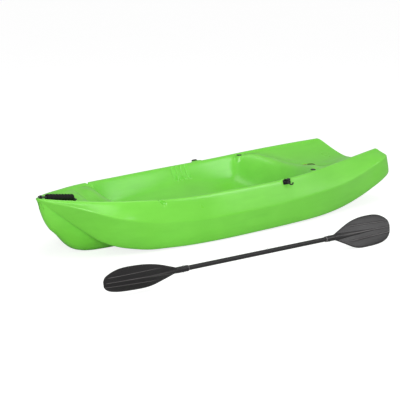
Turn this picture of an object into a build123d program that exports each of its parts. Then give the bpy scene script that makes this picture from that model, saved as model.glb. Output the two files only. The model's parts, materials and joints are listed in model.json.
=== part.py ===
"""Youth sit-on-top kayak with its two-piece feathered paddle lying beside it.

Frame: +X towards the bow, +Y to port, +Z up.  The origin is at mid-length on the
centreline, at the level of the floor that the keel stands on.  All sizes in mm.
"""
import os
from math import cos, radians, sin, sqrt

from build123d import *

os.makedirs("parts", exist_ok=True)

# ---------------------------------------------------------------- driving sizes
WALL = 2.9                  # thickness of the blow-moulded skin
RIM_WIDTH = 24              # width of the rounded rim around the cockpit
SKIN_END_BOW = 913          # last section, just inside the tip of the bow
SKIN_END_STERN = -930       # first section, behind the raked transom
AIR_END_BOW = 838           # forward of this the bow is moulded solid
SECTIONS = 56
TRANSOM_TOP_X = -884        # the transom leans forward from its foot to its top
TRANSOM_FOOT_X = -915
TRANSOM_FOOT_Z = 108
STERN_LEVEL_X = -500        # the top of the stern is level from the transom to here
BEYOND = (1000, 400)        # a place forward of the hull and above it (x, z)
CUT_REACH = 400             # reach of a cut to either side of the centreline
STERN_TOP_Z = 236
TRANSOM_CORNER = 18         # radius of the top corner of the stern, in side view

# ---------------------------------------------------------------- lines of the hull
# Each line is a list of (station along X, value).  _Y is a half-breadth, _Z a height.
KEEL_Z = [(-930, 114), (-750, 58), (-600, 20), (-450, 7), (-300, 2), (-150, -1), (640, -1),
          (725, 6), (747, 13), (780, 35), (828, 83), (861, 113), (881, 144), (897, 182),
          (909, 216), (915, 238)]
LOBE_Y = [(-930, 60), (600, 45), (700, 34), (780, 22), (860, 13), (900, 8), (915, 2)]
LOBE_RISE = [(-930, 0), (600, 0), (700, 2), (780, 6), (860, 10), (900, 8), (915, 1)]
TUNNEL_Y = [(-930, 110), (-600, 140), (0, 140), (300, 130), (500, 115), (600, 100), (700, 82),
            (770, 65), (838, 45), (880, 28), (905, 14), (915, 4)]
TUNNEL_Z = [(-930, 121), (-750, 69), (-600, 34), (-300, 17), (0, 18), (300, 26), (500, 42),
            (600, 60), (700, 94), (770, 136), (838, 184), (880, 212), (900, 229), (915, 239)]
CHINE_Y = [(-930, 218), (-915, 230), (-880, 248), (-750, 259), (-600, 264), (-450, 279),
           (-300, 291), (-150, 290), (0, 283), (150, 277), (300, 262), (450, 238), (540, 218),
           (600, 195), (646, 180), (712, 140), (770, 100), (838, 60), (880, 34), (900, 19),
           (915, 6)]
CHINE_Z = [(-930, 132), (-880, 112), (-750, 66), (-600, 26), (-450, 10), (-300, 7), (-150, 5),
           (0, 3), (300, 2), (450, 6), (540, 11), (600, 21), (646, 32), (712, 60), (770, 107),
           (838, 166), (880, 204), (900, 225), (915, 238)]
KNUCKLE_Y = [(-930, 206), (-905, 222), (-880, 238), (-750, 263), (-600, 286), (-450, 299),
             (-300, 305), (-150, 306), (0, 303), (150, 298), (300, 283), (450, 259), (600, 229),
             (700, 206), (750, 179), (800, 142), (850, 90), (880, 51), (900, 26), (910, 14),
             (915, 7)]
KNUCKLE_Z = [(-930, 212), (-880, 207), (-750, 175), (-600, 146), (-450, 128), (-300, 119),
             (0, 108), (300, 108), (450, 117), (600, 140), (700, 168), (800, 205), (850, 221),
             (880, 228), (915, 239)]
RIM_Y = [(-930, 183), (-880, 190), (-750, 213), (-600, 238), (-450, 261), (-300, 276),
         (-150, 282), (0, 281), (150, 276), (300, 266), (450, 246), (600, 203), (700, 159),
         (800, 104), (850, 69), (880, 41), (900, 22), (910, 12), (915, 6)]
RIM_Z = [(-930, 237), (-880, 235), (-750, 230), (-600, 223), (-450, 215), (-300, 207),
         (0, 203), (300, 204), (450, 208), (600, 216), (700, 222), (800, 231), (880, 239),
         (915, 243)]
# The deck: height on the centreline, rise from there to the foot of the side walls, and
# where that foot is, as a fraction of the half-breadth inside the rim.
DECK_Z = [(-930, 167), (-880, 166), (-640, 158), (-560, 172), (-500, 187), (-470, 180),
          (-440, 140), (-405, 88), (-370, 64), (-300, 58), (-200, 60), (-100, 69), (0, 72),
          (150, 60), (300, 54), (420, 58), (465, 84), (500, 152), (525, 168), (550, 170),
          (575, 158), (600, 156), (625, 174), (650, 180), (690, 182), (715, 192), (740, 196),
          (800, 204), (880, 219), (905, 232), (915, 240)]
DECK_RISE = [(-930, 0), (-560, 6), (-440, 30), (-300, 38), (-150, 52), (0, 54), (300, 46),
             (450, 30), (510, 32), (600, 30), (650, 24), (700, 8), (760, 4), (915, 0)]
FOOT_PART = [(-930, 0.14), (-650, 0.18), (-560, 0.35), (-470, 0.65), (-400, 0.8), (400, 0.79),
             (560, 0.72), (900, 0.6), (915, 0.5)]
WALL_CURVE = 1.35           # how much the foot of a side wall is rounded
RIM_SHARE = 0.45            # at the bow the rim is that part of its half-breadth wide
WALL_PARTS = (0.75, 0.45, 0.15)     # section corners up a side wall, from rim to foot
FLOOR_PARTS = (0.85, 0.6, 0.3, 0)   # and across the deck, from the foot to the middle
LOBE_FLANK = (0.62, 0.40)   # corner between the lobe and the tunnel, across and up
TUNNEL_FLANK = (0.40, 0.45)         # between the tunnel and the pontoon, likewise
PONTOON_PART = 0.72         # lowest point of a pontoon, from the tunnel out to the chine
PONTOON_RISE = 0.04         # and how far up from the chine towards the tunnel it is
CHINE_BEVEL = 9             # size of the rounding at the chine
CHINE_SHARE = 0.15          # and its limit, as a part of the pontoon's width
CHINE_CORNER = (0.15, 0.8)  # upper corner of that rounding, out and up, in bevels
RIM_ROUND = [(0, 1), (0.17, 0.2), (0.45, 0), (0.75, 0.2)]   # rim corners, across and down
RIM_DEPTH = 0.45            # depth of the rim's outer round, as a part of its width
RIM_SIDE = 0.6              # and its limit, as a part of the height above the knuckle
RIM_FALL = 0.4              # the rim's inner edge is lower than its top by that part
RIM_TOP = 0.45              # the rim's highest line, from its outer edge inwards
SEAT_BACK_BOW = 70          # the seat back is that far forward at the sides
SEAT_BACK_FROM = -250       # station where that bow begins, and where it is complete
SEAT_BACK_FULL = -400
STATION_PULL = 0.35         # how much the sections crowd towards both ends
MITRE_LIMIT = 0.5           # least cosine used where the wall turns a sharp corner


def fair(line, x):
    """Value of a hull line at station x: a cubic through its points, without overshoot."""
    x = min(max(x, line[0][0]), line[-1][0])
    n = next(i for i in range(1, len(line)) if x <= line[i][0])
    spans = [b[0] - a[0] for a, b in zip(line, line[1:])]
    rates = [(b[1] - a[1]) / span for a, b, span in zip(line, line[1:], spans)]

    def slope(i):
        if i == 0:
            return rates[0]
        if i == len(line) - 1:
            return rates[-1]
        before, after = rates[i - 1], rates[i]
        if before * after <= 0:
            return 0
        middle = (before * spans[i] + after * spans[i - 1]) / (spans[i - 1] + spans[i])
        limit = 3 * min(abs(before), abs(after))
        return max(-limit, min(limit, middle))

    (x0, v0), (x1, v1) = line[n - 1], line[n]
    t = (x - x0) / (x1 - x0)
    span = x1 - x0
    return (v0 * (1 + 2 * t) * (1 - t) ** 2 + slope(n - 1) * span * t * (1 - t) ** 2
            + v1 * t * t * (3 - 2 * t) - slope(n) * span * t * t * (1 - t))


def rim_width(x):
    """Width of the rim, which narrows into the tip of the bow."""
    return min(RIM_WIDTH, RIM_SHARE * fair(RIM_Y, x))


def deck_height(x, part):
    """Height of the deck at a fraction of the half-breadth inside the rim."""
    foot = fair(FOOT_PART, x)
    bow = min(max((SEAT_BACK_FROM - x) / (SEAT_BACK_FROM - SEAT_BACK_FULL), 0), 1)
    shifted = x - SEAT_BACK_BOW * bow * part ** 2
    inside = min(part / foot, 1)
    floor = fair(DECK_Z, shifted) + fair(DECK_RISE, x) * inside ** 2
    climb = max((part - foot) / (1 - foot), 0) ** WALL_CURVE
    edge = fair(RIM_Z, x) - RIM_FALL * rim_width(x)
    return floor + (edge - floor) * climb


def half_section(x):
    """Port half of the cross-section at station x, from the keel up and in to the deck."""
    keel, lobe = fair(KEEL_Z, x), fair(LOBE_Y, x)
    lobe_z = keel + fair(LOBE_RISE, x)
    tunnel_y, tunnel_z = fair(TUNNEL_Y, x), fair(TUNNEL_Z, x)
    chine_y, chine_z = fair(CHINE_Y, x), fair(CHINE_Z, x)
    knuckle_y, knuckle_z = fair(KNUCKLE_Y, x), fair(KNUCKLE_Z, x)
    rim_y, rim_z, width = fair(RIM_Y, x), fair(RIM_Z, x), rim_width(x)
    pontoon_y = tunnel_y + PONTOON_PART * (chine_y - tunnel_y)
    bevel = min(CHINE_BEVEL, CHINE_SHARE * (chine_y - tunnel_y))
    depth = min(RIM_DEPTH * width, RIM_SIDE * (rim_z - knuckle_z))
    points = [
        (0, keel),
        (lobe, lobe_z),
        (lobe + LOBE_FLANK[0] * (tunnel_y - lobe), lobe_z + LOBE_FLANK[1] * (tunnel_z - lobe_z)),
        (tunnel_y, tunnel_z),
        (tunnel_y + TUNNEL_FLANK[0] * (pontoon_y - tunnel_y),
         tunnel_z + TUNNEL_FLANK[1] * (chine_z - tunnel_z)),
        (pontoon_y, chine_z + PONTOON_RISE * (tunnel_z - chine_z)),
        (chine_y - bevel, chine_z),
        (chine_y + CHINE_CORNER[0] * bevel * (knuckle_y > chine_y),
         chine_z + CHINE_CORNER[1] * bevel),
        (knuckle_y, knuckle_z),
    ]
    points += [(rim_y - across_rim * width, rim_z - down * depth) for across_rim, down in RIM_ROUND]
    points.append((rim_y - width, rim_z - RIM_FALL * width))
    foot = fair(FOOT_PART, x)
    parts = [foot + share * (1 - foot) for share in WALL_PARTS]
    parts += [share * foot for share in FLOOR_PARTS]
    points += [(part * (rim_y - width), deck_height(x, part)) for part in parts]
    return points


def whole_section(x):
    """Closed outline at station x, symmetric about the centreline."""
    half = half_section(x)
    return half + [(-y, z) for y, z in reversed(half[1:-1])]


def inset(x, depth):
    """Section at station x moved inwards so that the wall is depth thick, square to it."""
    outline, ahead, astern = whole_section(x), whole_section(x + 1), whole_section(x - 1)
    moved = []
    count = len(outline)
    for i, point in enumerate(outline):
        before = Vector(*outline[i - 1])
        here = Vector(*point)
        after = Vector(*outline[(i + 1) % count])
        into, out = (here - before).normalized(), (after - here).normalized()
        inward = Vector(-into.Y - out.Y, into.X + out.X).normalized()
        mitre = max(inward.dot(Vector(-out.Y, out.X)), MITRE_LIMIT)
        slope = (Vector(*ahead[i]) - Vector(*astern[i])).dot(inward) / 2
        corner = here + inward * (depth * sqrt(1 + slope ** 2) / mitre)
        moved.append((corner.X, corner.Y))
    return moved


def stations(last):
    """Stations from the stern up to the last one, closer together towards both ends."""
    middle, reach = (SKIN_END_BOW + SKIN_END_STERN) / 2, (SKIN_END_BOW - SKIN_END_STERN) / 2
    shares = [2 * i / (SECTIONS - 1) - 1 for i in range(SECTIONS)]
    places = [middle + reach * ((1 + STATION_PULL) * s - STATION_PULL * s ** 3) for s in shares]
    return [x for x in places if x <= last]


def skin(last, depth):
    """Closed solid through the cross-sections, moved inwards by depth.

    Every corner of the section becomes a smooth line along the hull, and neighbouring
    lines are joined by a ruled strip, so the knuckles stay crisp.
    """
    places = stations(last)
    outlines = [inset(x, depth) for x in places]
    lines = []
    for corner in range(len(outlines[0])):
        along = [Vector(x, *outline[corner]) for x, outline in zip(places, outlines)]
        lines.append(Edge.make_spline(along))
    faces = [Face.make_surface_from_curves(lines[i - 1], lines[i]) for i in range(len(lines))]
    for x, outline in ((places[0], outlines[0]), (places[-1], outlines[-1])):
        rim = Wire.make_polygon([Vector(x, *corner) for corner in outline], close=True)
        faces.append(Face(rim))
    return Solid(Shell(faces))


def toward(start, end):
    """Plane at start whose normal points at end."""
    return Plane(origin=start, z_dir=Vector(*end) - Vector(*start))


def rod(start, end, radius, mode=Mode.ADD):
    """Round bar between two points, in the part being built."""
    reach = (Vector(*end) - Vector(*start)).length
    with Locations(toward(start, end)):
        Cylinder(radius, reach, align=(Align.CENTER, Align.CENTER, Align.MIN), mode=mode)


# ---------------------------------------------------------------- places on the hull
FINGER_X = (-8, -35, -62, -89)      # finger grooves in both inner walls, for carrying
FINGER_RADIUS = 12
FINGER_FOOT = (227, 146)            # where a groove's centreline starts and ends (y, z)
FINGER_HEAD = (255, 204)
NOTCH_X = 498                       # strap notches across the rims, swept aft
NOTCH_RADIUS = 6.5
NOTCH_FALL_OUT = (-30, 20, -22)     # run of a notch down the outer and the inner face
NOTCH_FALL_IN = (-42, -30, -30)
SKIN_SPARE = 3.0                    # plastic kept around every groove and hole
RECESS_GAP = 0.5                    # between the drain's bezel and its oval recess
SEAT_MARGIN = 2                     # a keeper's seat is that much longer than its plate

DRAIN_X = -633
DRAIN_SEAT_Z = 156
DRAIN_OVAL = (57, 90)               # size of the bezel along X and along Y
DRAIN_FLANGE = 3
DRAIN_BARREL = 15.5                 # radius of the bezel's barrel
DRAIN_BORE = 12.05
DRAIN_DEPTH = 20
DRAIN_SCREW_Y = 35
DRAIN_SEAL_RADIUS = 18
DRAIN_SEAL_SEAT = 1.5               # depth of the seal's seat in the bezel
DRAIN_SEAL_THICKNESS = 2.5
DRAIN_HEAD_RADIUS = 19
DRAIN_HEAD_HEIGHT = 6
DRAIN_HEAD_ROUND = 1.5
BEZEL_CHAMFER = 1
SEAL_ROOM = 1                       # between the seal and the edge of its seat
SEAL_ROUND = 0.6
THUMB_RIM = 3                       # wall around the plug's two thumb recesses
THUMB_BAR = 5                       # width of the grip bar between them
THUMB_DEPTH = 3.5

PLUG_X = -396                       # press-in plugs on the ledge beside the seat back
PLUG_Y = 229
PLUG_TOP_Z = 207
PLUG_HOLE = 6
PLUG_DEPTH = 12
PLUG_HEAD_RADIUS = 11
PLUG_HEAD_HEIGHT = 2.5
PLUG_ROUND = 1.2

KEEPER_X = -172                     # paddle keepers, one on each side
KEEPER_Z = 194
KEEPER_TILT = 16                    # lean of the upper side plank, degrees
KEEPER_PROUD = 1.5                  # its seat stands that far out from the plank
KEEPER_PLATE = (44, 22, 3)
KEEPER_SCREW = (16, -4)             # screw position on the plate, along and up
KEEPER_BAR = (8, 10)                # the bar's height on the plate, and off the hull
KEEPER_BAR_RADIUS = 2.5
KEEPER_RING = 4.5
KEEPER_POST = 9                     # half the distance between the two posts
KEEPER_POST_WIDTH = 5
KEEPER_HOOK_WIDTH = 10
KEEPER_HOOK_RADIUS = 2.8
KEEPER_HOOK_SPINE = [(0, 0, 0), (2, 14, 1), (8, 22, 4), (15, 22, 9), (17, 15, 12)]

HANDLE_FRONT = (897, 0, 246)        # the two ends of the line that the handle swings on
HANDLE_REAR = (735.5, 0, 212)
EYE_SEAT_FRONT = 235                # height of the two moulded seats for the eyes
EYE_SEAT_REAR = 196.5
SEAT_RADIUS = 11                    # of the moulded seats for eyes and plugs
SEAT_DEPTH = 14
EYE_SHANK = 4
EYE_SHANK_DEPTH = 14
EYE_BASE = 2.5
EYE_MARGIN = 1.5                    # between the edge of an eye's base and its seat's
EYE_THICKNESS = 5
EYE_LUG = 6.5
CORD_RADIUS = 3
KNOT_RADIUS = 4.5
KNOT_REACH = 8.0                    # from the middle of an eye to its knot
CORD_STRAIGHT = 6                   # straight length of cord inboard of an eye
CORD_PROUD = 2                      # straight length of cord beyond each end of the grip
GRIP_FRONT = (880, 12, 244)
GRIP_REAR = (751, 12, 224.5)
GRIP_RADIUS = 13
GRIP_WAVES = 9
GRIP_GROOVE = 1.2
RUNNING_GAP = 0.05                  # radial clearance of every running fit
SCREW_RADIUS = 2.0
SCREW_DEPTH = 12
SCREW_GAP = 0.2                     # around a screw where it passes through a fitting
HEAD_GAP = 0.1                      # around a countersunk head
SLOT = (5, 0.8, 1.6)                # driver slot: length, width and twice its depth
END_GAP = 1                         # a screw or shank stops short of its hole's end

# ---------------------------------------------------------------- paddle sizes
PADDLE_CENTRE = (380, 669, 58)      # lying on the floor on the port side of the hull
PADDLE_YAW = 5                      # its bow end points this far outward of the hull
SHAFT_RADIUS = 9
SHAFT_WALL = 1.2
SHAFT_HALF = 380
HALVES_GAP = 0.2                    # between the two halves of the shaft
FERRULE_HALF = 70
FERRULE_WALL = 1
BUTTON_AT = -40                     # along the shaft, in the stern half
BUTTON_RADIUS = 2.6
BUTTON_FLANGE = (3.6, 0.8)          # radius and thickness of the flange at its foot
BUTTON_FOOT = 4.6                   # height of the button's foot above the shaft's axis
BUTTON_PROUD = 2.2
BUTTON_GAP = 0.1                    # around the button in the outer tube
BUTTON_ROUND = 1.5
SPRING_STRIP = (5, 0.6)             # width and thickness of the button's spring
SPRING_REACH = 32                   # from the button to the spring's bend
SPRING_TOE = 6                      # straight length of each leg beyond the button
SPRING_BEND = 2                     # half the height of the bend
FEATHER = 60                        # angle between the shaft's feathering holes
FEATHER_HOLES = 3                   # feathered one way, blades in line, the other way
NECK_AT = 385                       # where the flat of each blade begins
BLADE_LENGTH = 322
BLADE_HALF_WIDTH = 62
BLADE_THICKNESS = 4
BLADE_LEAN = 60                     # each blade leans this far from the floor
SOCKET_RADIUS = 11.5
SOCKET_LENGTH = 46
SOCKET_FLOOR = -4
SPINE_LENGTH = 230
RIVET_AT = 360
RIVET_RADIUS = 1.6
RIVET_HEAD = 1
RIVET_ROUND = 0.3
# Blade outline from the neck round the upper edge to the tip and back, as fractions of
# its length and of its half width: the upper edge is the longer one.
BLADE_OUTLINE = [(0, 0.17), (0.15, 0.48), (0.3, 0.76), (0.5, 0.98), (0.7, 1.03), (0.85, 0.95),
                 (0.95, 0.7), (1, 0.28), (0.985, -0.05), (0.955, -0.38), (0.87, -0.75),
                 (0.75, -0.94), (0.6, -1.01), (0.45, -1.02), (0.28, -0.9), (0.13, -0.52),
                 (0, -0.17)]


def rim_point(x):
    """Top of the port rim at station x."""
    return x, fair(RIM_Y, x) - RIM_TOP * rim_width(x), fair(RIM_Z, x)


def keeper_plane(side):
    """Seat of a keeper on the port (1) or starboard (-1) side: Z outboard, Y up."""
    share = (KEEPER_Z - fair(KNUCKLE_Z, KEEPER_X)) / (
        fair(RIM_Z, KEEPER_X) - RIM_DEPTH * RIM_WIDTH - fair(KNUCKLE_Z, KEEPER_X))
    low, high = fair(KNUCKLE_Y, KEEPER_X), fair(RIM_Y, KEEPER_X)
    y = low + share * (high - low) + KEEPER_PROUD
    lean = radians(KEEPER_TILT)
    return Plane(origin=(KEEPER_X, side * y, KEEPER_Z), x_dir=(-side, 0, 0),
                 z_dir=(0, side * cos(lean), sin(lean)))


def both_sides(point):
    """A point on the port side and its mirror image to starboard."""
    x, y, z = point
    return [(x, y, z), (x, -y, z)]


def cut_rods(starts, ends, radius, extra):
    """Cut round bars out of the part being built, grown by extra on every side."""
    planes = [toward(start, end).offset(-extra) for start, end in zip(starts, ends)]
    reach = (Vector(*ends[0]) - Vector(*starts[0])).length + 2 * extra
    with Locations(*planes):
        Cylinder(radius + extra, reach, align=(Align.CENTER, Align.CENTER, Align.MIN),
                 mode=Mode.SUBTRACT)


def cut_grooves(extra):
    """Cut the finger grooves and the strap notches, or the plastic kept around them."""
    feet, heads = [], []
    for x in FINGER_X:
        feet += both_sides((x, *FINGER_FOOT))
        heads += both_sides((x, *FINGER_HEAD))
    cut_rods(feet, heads, FINGER_RADIUS, extra)
    top = rim_point(NOTCH_X)
    for fall in (NOTCH_FALL_OUT, NOTCH_FALL_IN):
        end = [start + run for start, run in zip(top, fall)]
        cut_rods(both_sides(top), both_sides(end), NOTCH_RADIUS, extra)


def stern_profile(depth):
    """Side outline of everything forward of the transom, moved forward by depth."""
    corner = Vector(TRANSOM_TOP_X + depth, STERN_TOP_Z)
    foot = Vector(TRANSOM_FOOT_X + depth, TRANSOM_FOOT_Z)
    low = foot + (foot - corner)
    with BuildSketch(Plane.XZ) as profile:
        with BuildLine():
            Polyline(low, corner, (STERN_LEVEL_X, STERN_TOP_Z), (STERN_LEVEL_X, BEYOND[1]),
                     BEYOND, (BEYOND[0], low.Y), close=True)
        make_face()
        corner_vertex = profile.vertices().sort_by_distance((corner.X, 0, corner.Y))[0]
        fillet(corner_vertex, TRANSOM_CORNER - depth)
    return profile.sketch


def finish(builder, name):
    """Label a finished piece and write it."""
    builder.part.label = name
    export_step(builder.part, f"parts/{name}.step")


BELOW_FLOOR = (2200, 800, 100)      # block that trims the keel level with the floor
DOWN = (Align.CENTER, Align.CENTER, Align.MAX)
UP = (Align.CENTER, Align.CENTER, Align.MIN)

# ---------------------------------------------------------------- hull
hull_skin = skin(SKIN_END_BOW, 0)
air_skin = skin(AIR_END_BOW, WALL)
keeper_seats = [keeper_plane(1), keeper_plane(-1)]
eye_seats = [(HANDLE_FRONT[0], 0, EYE_SEAT_FRONT), (HANDLE_REAR[0], 0, EYE_SEAT_REAR)]
plug_seats = both_sides((PLUG_X, PLUG_Y, PLUG_TOP_Z))
drain_screws = both_sides((DRAIN_X, DRAIN_SCREW_Y, DRAIN_SEAT_Z))
keeper_screw_places = [(side * KEEPER_SCREW[0], KEEPER_SCREW[1]) for side in (1, -1)]

with BuildPart() as air_space:
    add(air_skin)
    extrude(stern_profile(WALL), amount=CUT_REACH, both=True, mode=Mode.INTERSECT)
    cut_grooves(SKIN_SPARE)
    with Locations((DRAIN_X, 0, DRAIN_SEAT_Z - SKIN_SPARE)):
        Box(DRAIN_OVAL[0] + 4 * SKIN_SPARE, DRAIN_OVAL[1] + 4 * SKIN_SPARE, 3 * DRAIN_DEPTH,
            align=UP, mode=Mode.SUBTRACT)
    with Locations((DRAIN_X, 0, DRAIN_SEAT_Z)):
        Cylinder(DRAIN_BARREL + SKIN_SPARE, DRAIN_DEPTH, align=DOWN, mode=Mode.SUBTRACT)
    with Locations(*drain_screws):
        Cylinder(SCREW_RADIUS + SKIN_SPARE, SCREW_DEPTH + SKIN_SPARE, align=DOWN,
                 mode=Mode.SUBTRACT)
    with Locations(*plug_seats):
        Cylinder(PLUG_HOLE + 3 * SKIN_SPARE, PLUG_DEPTH + SKIN_SPARE, align=DOWN,
                 mode=Mode.SUBTRACT)
    with Locations(*keeper_seats):
        Box(KEEPER_PLATE[0] + 4 * SKIN_SPARE, KEEPER_PLATE[1] + 4 * SKIN_SPARE,
            4 * SCREW_DEPTH, mode=Mode.SUBTRACT)
    with Locations(eye_seats[1]):
        Cylinder(EYE_SHANK + 3 * SKIN_SPARE, EYE_SHANK_DEPTH + SKIN_SPARE, align=DOWN,
                 mode=Mode.SUBTRACT)

with BuildPart() as hull:
    add(hull_skin)
    extrude(stern_profile(0), amount=CUT_REACH, both=True, mode=Mode.INTERSECT)
    # the flat foot of the keel
    Box(*BELOW_FLOOR, align=DOWN, mode=Mode.SUBTRACT)
    # moulded seats for the handle's eyes, the ledge plugs and the keepers
    with Locations(*eye_seats, *plug_seats):
        Cylinder(SEAT_RADIUS, SEAT_DEPTH, align=DOWN)
    with Locations(*eye_seats):
        Cylinder(SEAT_RADIUS, SEAT_DEPTH, align=UP, mode=Mode.SUBTRACT)
    with Locations(*keeper_seats):
        Box(KEEPER_PLATE[0] + 2 * SEAT_MARGIN, KEEPER_PLATE[1], SEAT_DEPTH - SEAT_MARGIN,
            align=DOWN)
    cut_grooves(0)
    # the drain's oval recess
    with BuildSketch(Plane.XY.offset(DRAIN_SEAT_Z)):
        with Locations((DRAIN_X, 0)):
            Ellipse(DRAIN_OVAL[0] / 2 + RECESS_GAP, DRAIN_OVAL[1] / 2 + RECESS_GAP)
    extrude(amount=2 * DRAIN_DEPTH, mode=Mode.SUBTRACT)
    add(air_space.part, mode=Mode.SUBTRACT)
    # holes
    with Locations((DRAIN_X, 0, DRAIN_SEAT_Z)):
        Cylinder(DRAIN_BARREL + RUNNING_GAP, 3 * DRAIN_DEPTH, mode=Mode.SUBTRACT)
    with Locations(*drain_screws):
        Cylinder(SCREW_RADIUS, SCREW_DEPTH, align=DOWN, mode=Mode.SUBTRACT)
    with Locations(*plug_seats):
        Cylinder(PLUG_HOLE, PLUG_DEPTH, align=DOWN, mode=Mode.SUBTRACT)
    with Locations(*eye_seats):
        Cylinder(EYE_SHANK, EYE_SHANK_DEPTH, align=DOWN, mode=Mode.SUBTRACT)
    for seat in keeper_seats:
        with Locations(seat):
            with Locations(*keeper_screw_places):
                Cylinder(SCREW_RADIUS, SCREW_DEPTH, align=DOWN, mode=Mode.SUBTRACT)
finish(hull, "hull")

# ---------------------------------------------------------------- drain
with BuildPart() as drain_bezel:
    with BuildSketch(Plane.XY.offset(DRAIN_SEAT_Z)):
        with Locations((DRAIN_X, 0)):
            Ellipse(DRAIN_OVAL[0] / 2, DRAIN_OVAL[1] / 2)
    extrude(amount=DRAIN_FLANGE)
    chamfer(drain_bezel.edges().group_by(Axis.Z)[-1], BEZEL_CHAMFER)
    with Locations((DRAIN_X, 0, DRAIN_SEAT_Z)):
        Cylinder(DRAIN_BARREL, DRAIN_DEPTH, align=DOWN)
    with Locations((DRAIN_X, 0, DRAIN_SEAT_Z + DRAIN_FLANGE)):
        CounterBoreHole(DRAIN_BORE, DRAIN_SEAL_RADIUS + SEAL_ROOM, DRAIN_SEAL_SEAT,
                        3 * DRAIN_DEPTH)
    with Locations(*[(x, y, DRAIN_SEAT_Z + DRAIN_FLANGE) for x, y, z in drain_screws]):
        CounterSinkHole(SCREW_RADIUS + SCREW_GAP, 2 * SCREW_RADIUS, DRAIN_FLANGE)
finish(drain_bezel, "drain_bezel")

with BuildPart() as bezel_screws:
    head_plane = DRAIN_SEAT_Z + DRAIN_FLANGE
    with Locations(*[(x, y, head_plane) for x, y, z in drain_screws]):
        Cylinder(SCREW_RADIUS, SCREW_DEPTH + DRAIN_FLANGE - END_GAP, align=DOWN)
        Cone(SCREW_RADIUS, 2 * SCREW_RADIUS - HEAD_GAP, SCREW_RADIUS - HEAD_GAP, align=DOWN)
        Box(*SLOT, mode=Mode.SUBTRACT)
finish(bezel_screws, "bezel_screws")

seal_top = DRAIN_SEAT_Z + DRAIN_FLANGE - DRAIN_SEAL_SEAT + DRAIN_SEAL_THICKNESS
with BuildPart() as drain_seal:
    with Locations((DRAIN_X, 0, seal_top)):
        Cylinder(DRAIN_SEAL_RADIUS, DRAIN_SEAL_THICKNESS, align=DOWN)
        Cylinder(DRAIN_BORE, 3 * DRAIN_SEAL_THICKNESS, mode=Mode.SUBTRACT)
    fillet(drain_seal.edges().filter_by(GeomType.CIRCLE), SEAL_ROUND)
finish(drain_seal, "drain_seal")

with BuildPart() as drain_plug:
    with Locations((DRAIN_X, 0, seal_top)):
        Cylinder(DRAIN_BORE - RUNNING_GAP, DRAIN_DEPTH - 2 * END_GAP, align=DOWN)
        Cylinder(DRAIN_HEAD_RADIUS, DRAIN_HEAD_HEIGHT, align=UP)
    head_edge = drain_plug.edges().filter_by(GeomType.CIRCLE).group_by(Axis.Z)[-1]
    fillet(head_edge, DRAIN_HEAD_ROUND)
    # two thumb recesses leave a grip bar across the head
    with BuildSketch(Plane.XY.offset(seal_top + DRAIN_HEAD_HEIGHT)):
        with Locations((DRAIN_X, 0)):
            Circle(DRAIN_HEAD_RADIUS - THUMB_RIM)
            Rectangle(THUMB_BAR, 4 * DRAIN_HEAD_RADIUS, mode=Mode.SUBTRACT)
    extrude(amount=-THUMB_DEPTH, mode=Mode.SUBTRACT)
finish(drain_plug, "drain_plug")

# ---------------------------------------------------------------- ledge plugs
with BuildPart() as ledge_plugs:
    with Locations(*plug_seats):
        Cylinder(PLUG_HOLE - RUNNING_GAP, PLUG_DEPTH - END_GAP, align=DOWN)
        Cylinder(PLUG_HEAD_RADIUS, PLUG_HEAD_HEIGHT, align=UP)
    fillet(ledge_plugs.edges().filter_by(GeomType.CIRCLE).group_by(Axis.Z)[-1], PLUG_ROUND)
finish(ledge_plugs, "ledge_plugs")

# ---------------------------------------------------------------- paddle keepers
bar_y, bar_z = KEEPER_BAR
for seat, aft, name in zip(keeper_seats, (1, -1), ("port", "starboard")):
    bar_middle = seat.from_local_coords((0, bar_y, bar_z))
    bar_line = Plane(origin=bar_middle, z_dir=(1, 0, 0))

    with BuildPart() as keeper_eye:
        with Locations(seat):
            Box(*KEEPER_PLATE, align=UP)
            with Locations((KEEPER_POST, bar_y, 0), (-KEEPER_POST, bar_y, 0)):
                Box(KEEPER_POST_WIDTH, 2 * KEEPER_RING, bar_z + KEEPER_RING, align=UP)
        with Locations(bar_line):
            Cylinder(KEEPER_BAR_RADIUS, 2 * KEEPER_POST)
        with Locations(seat):
            with Locations(*keeper_screw_places):
                Cylinder(SCREW_RADIUS + SCREW_GAP, 3 * KEEPER_PLATE[2], mode=Mode.SUBTRACT)
    finish(keeper_eye, f"keeper_eye_{name}")

    with BuildPart() as keeper_hook:
        with Locations(bar_line):
            Cylinder(KEEPER_RING, KEEPER_HOOK_WIDTH)
        spine = [seat.from_local_coords((aft * x, bar_y - y, bar_z + z))
                 for x, y, z in KEEPER_HOOK_SPINE]
        for start, end in zip(spine, spine[1:]):
            rod(start, end, KEEPER_HOOK_RADIUS)
        with Locations(*spine[1:]):
            Sphere(KEEPER_HOOK_RADIUS)
        with Locations(bar_line):
            Cylinder(KEEPER_BAR_RADIUS + RUNNING_GAP, 2 * KEEPER_POST, mode=Mode.SUBTRACT)
    finish(keeper_hook, f"keeper_hook_{name}")

with BuildPart() as keeper_screws:
    for seat in keeper_seats:
        with Locations(seat.offset(KEEPER_PLATE[2])):
            with Locations(*keeper_screw_places):
                Cylinder(SCREW_RADIUS, SCREW_DEPTH + KEEPER_PLATE[2] - END_GAP, align=DOWN)
                Cylinder(2 * SCREW_RADIUS, SCREW_RADIUS, align=UP)
        with Locations(seat.offset(KEEPER_PLATE[2] + SCREW_RADIUS)):
            with Locations(*keeper_screw_places):
                Box(*SLOT, mode=Mode.SUBTRACT)
finish(keeper_screws, "keeper_screws")

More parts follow.
